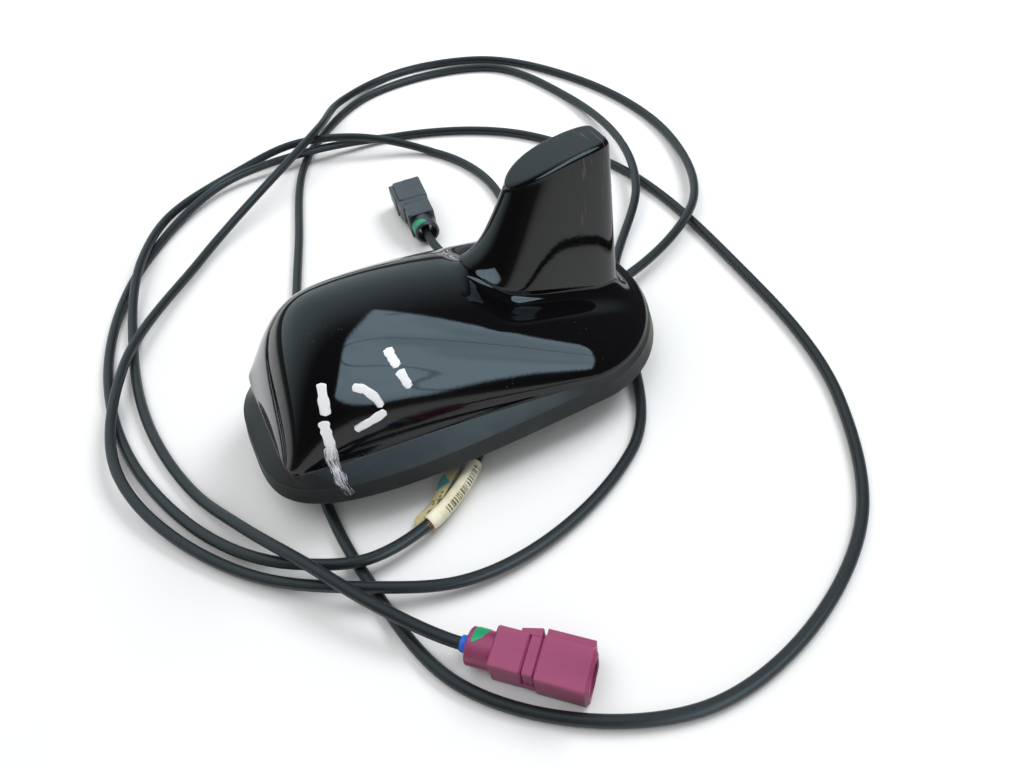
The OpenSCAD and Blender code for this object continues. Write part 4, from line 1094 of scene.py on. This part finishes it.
def make_thread():
    """Geometry Nodes set the ridge on both sides of the shank, turn after turn."""
    tree = bpy.data.node_groups.new("shank_thread", "GeometryNodeTree")
    tree.interface.new_socket("Ridge", in_out="INPUT", socket_type="NodeSocketGeometry")
    turns = tree.interface.new_socket("Turns", in_out="INPUT", socket_type="NodeSocketInt")
    pitch = tree.interface.new_socket("Pitch", in_out="INPUT", socket_type="NodeSocketFloat")
    tree.interface.new_socket("Thread", in_out="OUTPUT", socket_type="NodeSocketGeometry")
    w = Wiring(tree)
    given = w.node("NodeGroupInput")
    step = w.node("ShaderNodeMath", {"operation": "MULTIPLY"}, {0: given.out(2), 1: 0.5})
    rise = w.node("ShaderNodeCombineXYZ", {}, {"Z": step.out()})
    # two ridges a turn: the start and the step up to the other side are half a pitch
    places = w.node("GeometryNodeMeshLine", {}, {
        "Count": given.out(1), "Start Location": (SHANK_X * MM, 0, THREAD_FROM * MM), "Offset": rise.out()})
    index = w.node("GeometryNodeInputIndex")
    turned = w.node("ShaderNodeMath", {"operation": "MULTIPLY"}, {0: index.out(), 1: math.pi})
    about = w.node("ShaderNodeCombineXYZ", {}, {"Z": turned.out()})
    spread = w.node("GeometryNodeInstanceOnPoints", {}, {
        "Points": places.out(), "Instance": given.out(0), "Rotation": about.out()})
    real = w.node("GeometryNodeRealizeInstances", {}, {"Geometry": spread.out()})
    finished = w.node("GeometryNodeSetMaterial", {}, {"Geometry": real.out(), "Material": CAST_ALLOY})
    result = w.node("NodeGroupOutput")
    w.feed(result.node.inputs[0], finished)

    source = bpy.data.objects.new("thread_source", thread_ridge())
    bpy.context.collection.objects.link(source)
    modifier = source.modifiers.new("thread", "NODES")
    modifier.node_group = tree
    modifier[turns.identifier] = 2 * THREAD_TURNS
    modifier[pitch.identifier] = THREAD_PITCH * MM
    mesh = bpy.data.meshes.new_from_object(source.evaluated_get(bpy.context.evaluated_depsgraph_get()))
    bpy.data.objects.remove(source)
    mesh.name = "shank_thread"
    mesh.set_sharp_from_angle(angle=math.radians(35))
    piece = bpy.data.objects.new("shank_thread", mesh)
    bpy.context.collection.objects.link(piece)
    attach(piece, "root")


make_thread()

# ---------------------------------------------------------------- plain solids keep their shape

CAD_FINISH = {
    "base_plate": CAST_ALLOY, "outlet_grommet": GROMMET_RUBBER, "cover_screws": SCREW_STEEL,
    "circuit_board": BOARD_GREEN, "board_screws": SCREW_STEEL, "shield_can": TIN_SHEET,
    "board_parts": CHIP_BLACK, "coax_crimps": GOLD_PLATE, "fin_board": BOARD_GREEN,
    "contact_spring": GOLD_PLATE, "phone_antenna": TIN_SHEET, "marker_sleeve": SLEEVE_BLUE,
    "cable_label": LABEL_PAPER, "cover": GLOSS_BLACK, "gasket": GASKET_RUBBER,
    "radio_cable": LEAD_JACKET, "phone_cable": LEAD_JACKET,
    "phone_plug_body": BORDEAUX, "radio_plug_body": PLUG_BLACK,
}
for lead in ("phone", "radio"):
    CAD_FINISH.update({lead + "_plug_lock": LOCK_GREEN, lead + "_plug_shell": GOLD_PLATE,
                       lead + "_plug_insulator": INSULATOR_WHITE, lead + "_plug_pin": GOLD_PLATE,
                       lead + "_plug_ferrule": SCREW_STEEL})
for name, finish in CAD_FINISH.items():
    nodes[name].data.materials.clear()
    nodes[name].data.materials.append(finish)

# ---------------------------------------------------------------- the leads' lines, turned to metres and not kept


def declare(lead):
    line = lead_lines[lead]
    (line * MM).tolist()


declare("radio")
declare("phone")

# ---------------------------------------------------------------- table, light and the rest of the stage


def make_table():
    """A pale table top, white near the part and dim where only the gloss would show it."""
    f = Finish("table_top")
    f.tree.nodes.remove(f.shader.node)
    tone = f.noise(6, 3, 0.6)
    pale = f.mix(tone, (0.70, 0.70, 0.698), (0.68, 0.68, 0.677))
    spot = f.node("ShaderNodeSeparateXYZ", {}, {0: f.place})
    x, y = spot.num("X"), spot.num("Y")
    far = ((x * x + y * y) ** 0.5).ramp(0.18, 0.34)
    gloss = f.node("ShaderNodeLightPath").num("Is Glossy Ray")
    colour = f.mix(far * gloss * 0.93, pale, (0.03, 0.03, 0.03))
    f.feed(f.surface, f.node("ShaderNodeBsdfDiffuse", {}, {"Color": colour}).out())
    mesh = bpy.data.meshes.new("table_top")
    mesh.from_pydata([(-3, -3, 0), (3, -3, 0), (3, 3, 0), (-3, 3, 0)], [], [(0, 1, 2, 3)])
    mesh.materials.append(f.material)
    table = bpy.data.objects.new("table_top", mesh)
    bpy.context.collection.objects.link(table)


def soft_light(name, at, aim, size, watts, colour=(1, 1, 1)):
    data = bpy.data.lights.new(name, "AREA")
    data.shape, data.size, data.size_y = "RECTANGLE", size[0], size[1]
    data.energy, data.color = watts, colour
    light = bpy.data.objects.new(name, data)
    bpy.context.collection.objects.link(light)
    facing = (Vector(aim) - Vector(at)).to_track_quat("-Z", "Y")
    light.matrix_world = Matrix.Translation(at) @ facing.to_matrix().to_4x4()
    light.visible_camera = light.visible_glossy = False
    return light


make_table()
soft_light("window", (0.9, 0.2, 0.9), (0, 0.03, 0.02), (0.7, 0.5), 14, (0.93, 0.97, 1.0))
soft_light("ceiling", (-0.3, 0.5, 1.6), (0, 0, 0), (1.6, 1.6), 16)


def light_room():
    """An even pale room; only gloss sees its dark end, its ceiling and the broad window."""
    world = bpy.data.worlds.new("room")
    bpy.context.scene.world = world
    world.use_nodes = True
    w = Wiring(world.node_tree)
    way = w.node("ShaderNodeTexCoord").out("Generated")
    up = w.facing(way, (0, 0, 1))
    window = up.ramp(-0.05, 0.05)
    for side, shift in (((0.858, -0.410, -0.308), 0), ((0.744, -0.092, 0.661), 0),
                        ((-0.732, 0.046, 0.680), 0.05), ((-0.774, -0.560, 0.296), 0.05)):
        window = window * (w.facing(way, side) + shift).ramp(-0.02, 0.02)
    bars = abs(w.facing(way, (-0.30, -0.56, 0.77))).ramp(0.010, 0.016)
    posts = abs(w.facing(way, (0.86, -0.42, 0.28))).ramp(0.008, 0.014)
    wires = w.node("ShaderNodeTexNoise", {}, {"Vector": way, "Scale": 1.7, "Detail": 0.0}).num("Fac")
    wires = abs(wires - 0.5).ramp(0.004, 0.012)
    panes = w.node("ShaderNodeTexNoise", {}, {"Vector": way, "Scale": 2.6, "Detail": 2.0}).num("Fac")
    window = window * (bars * 0.6 + 0.4) * (posts * 0.6 + 0.4) * (wires * 0.55 + 0.45)
    window = window * panes.ramp(0.3, 0.7, 0.78, 1.1)
    ceiling = w.facing(way, (-0.3, 0.8, 0.52)).ramp(0.12, 0.95)
    seen = w.mix(ceiling, (0.05, 0.05, 0.055), (0.88, 1.13, 1.20))
    seen = w.mix(window, seen, (3.0, 4.1, 4.8))
    gloss = w.node("ShaderNodeLightPath").num("Is Glossy Ray")
    colour = w.mix(gloss, (0.62, 0.63, 0.64), seen)
    lit = w.node("ShaderNodeBackground", {}, {"Color": colour, "Strength": 1.0}).out()
    w.feed(w.node("ShaderNodeOutputWorld").node.inputs["Surface"], lit)


light_room()
bpy.context.scene.view_settings.view_transform = "Standard"
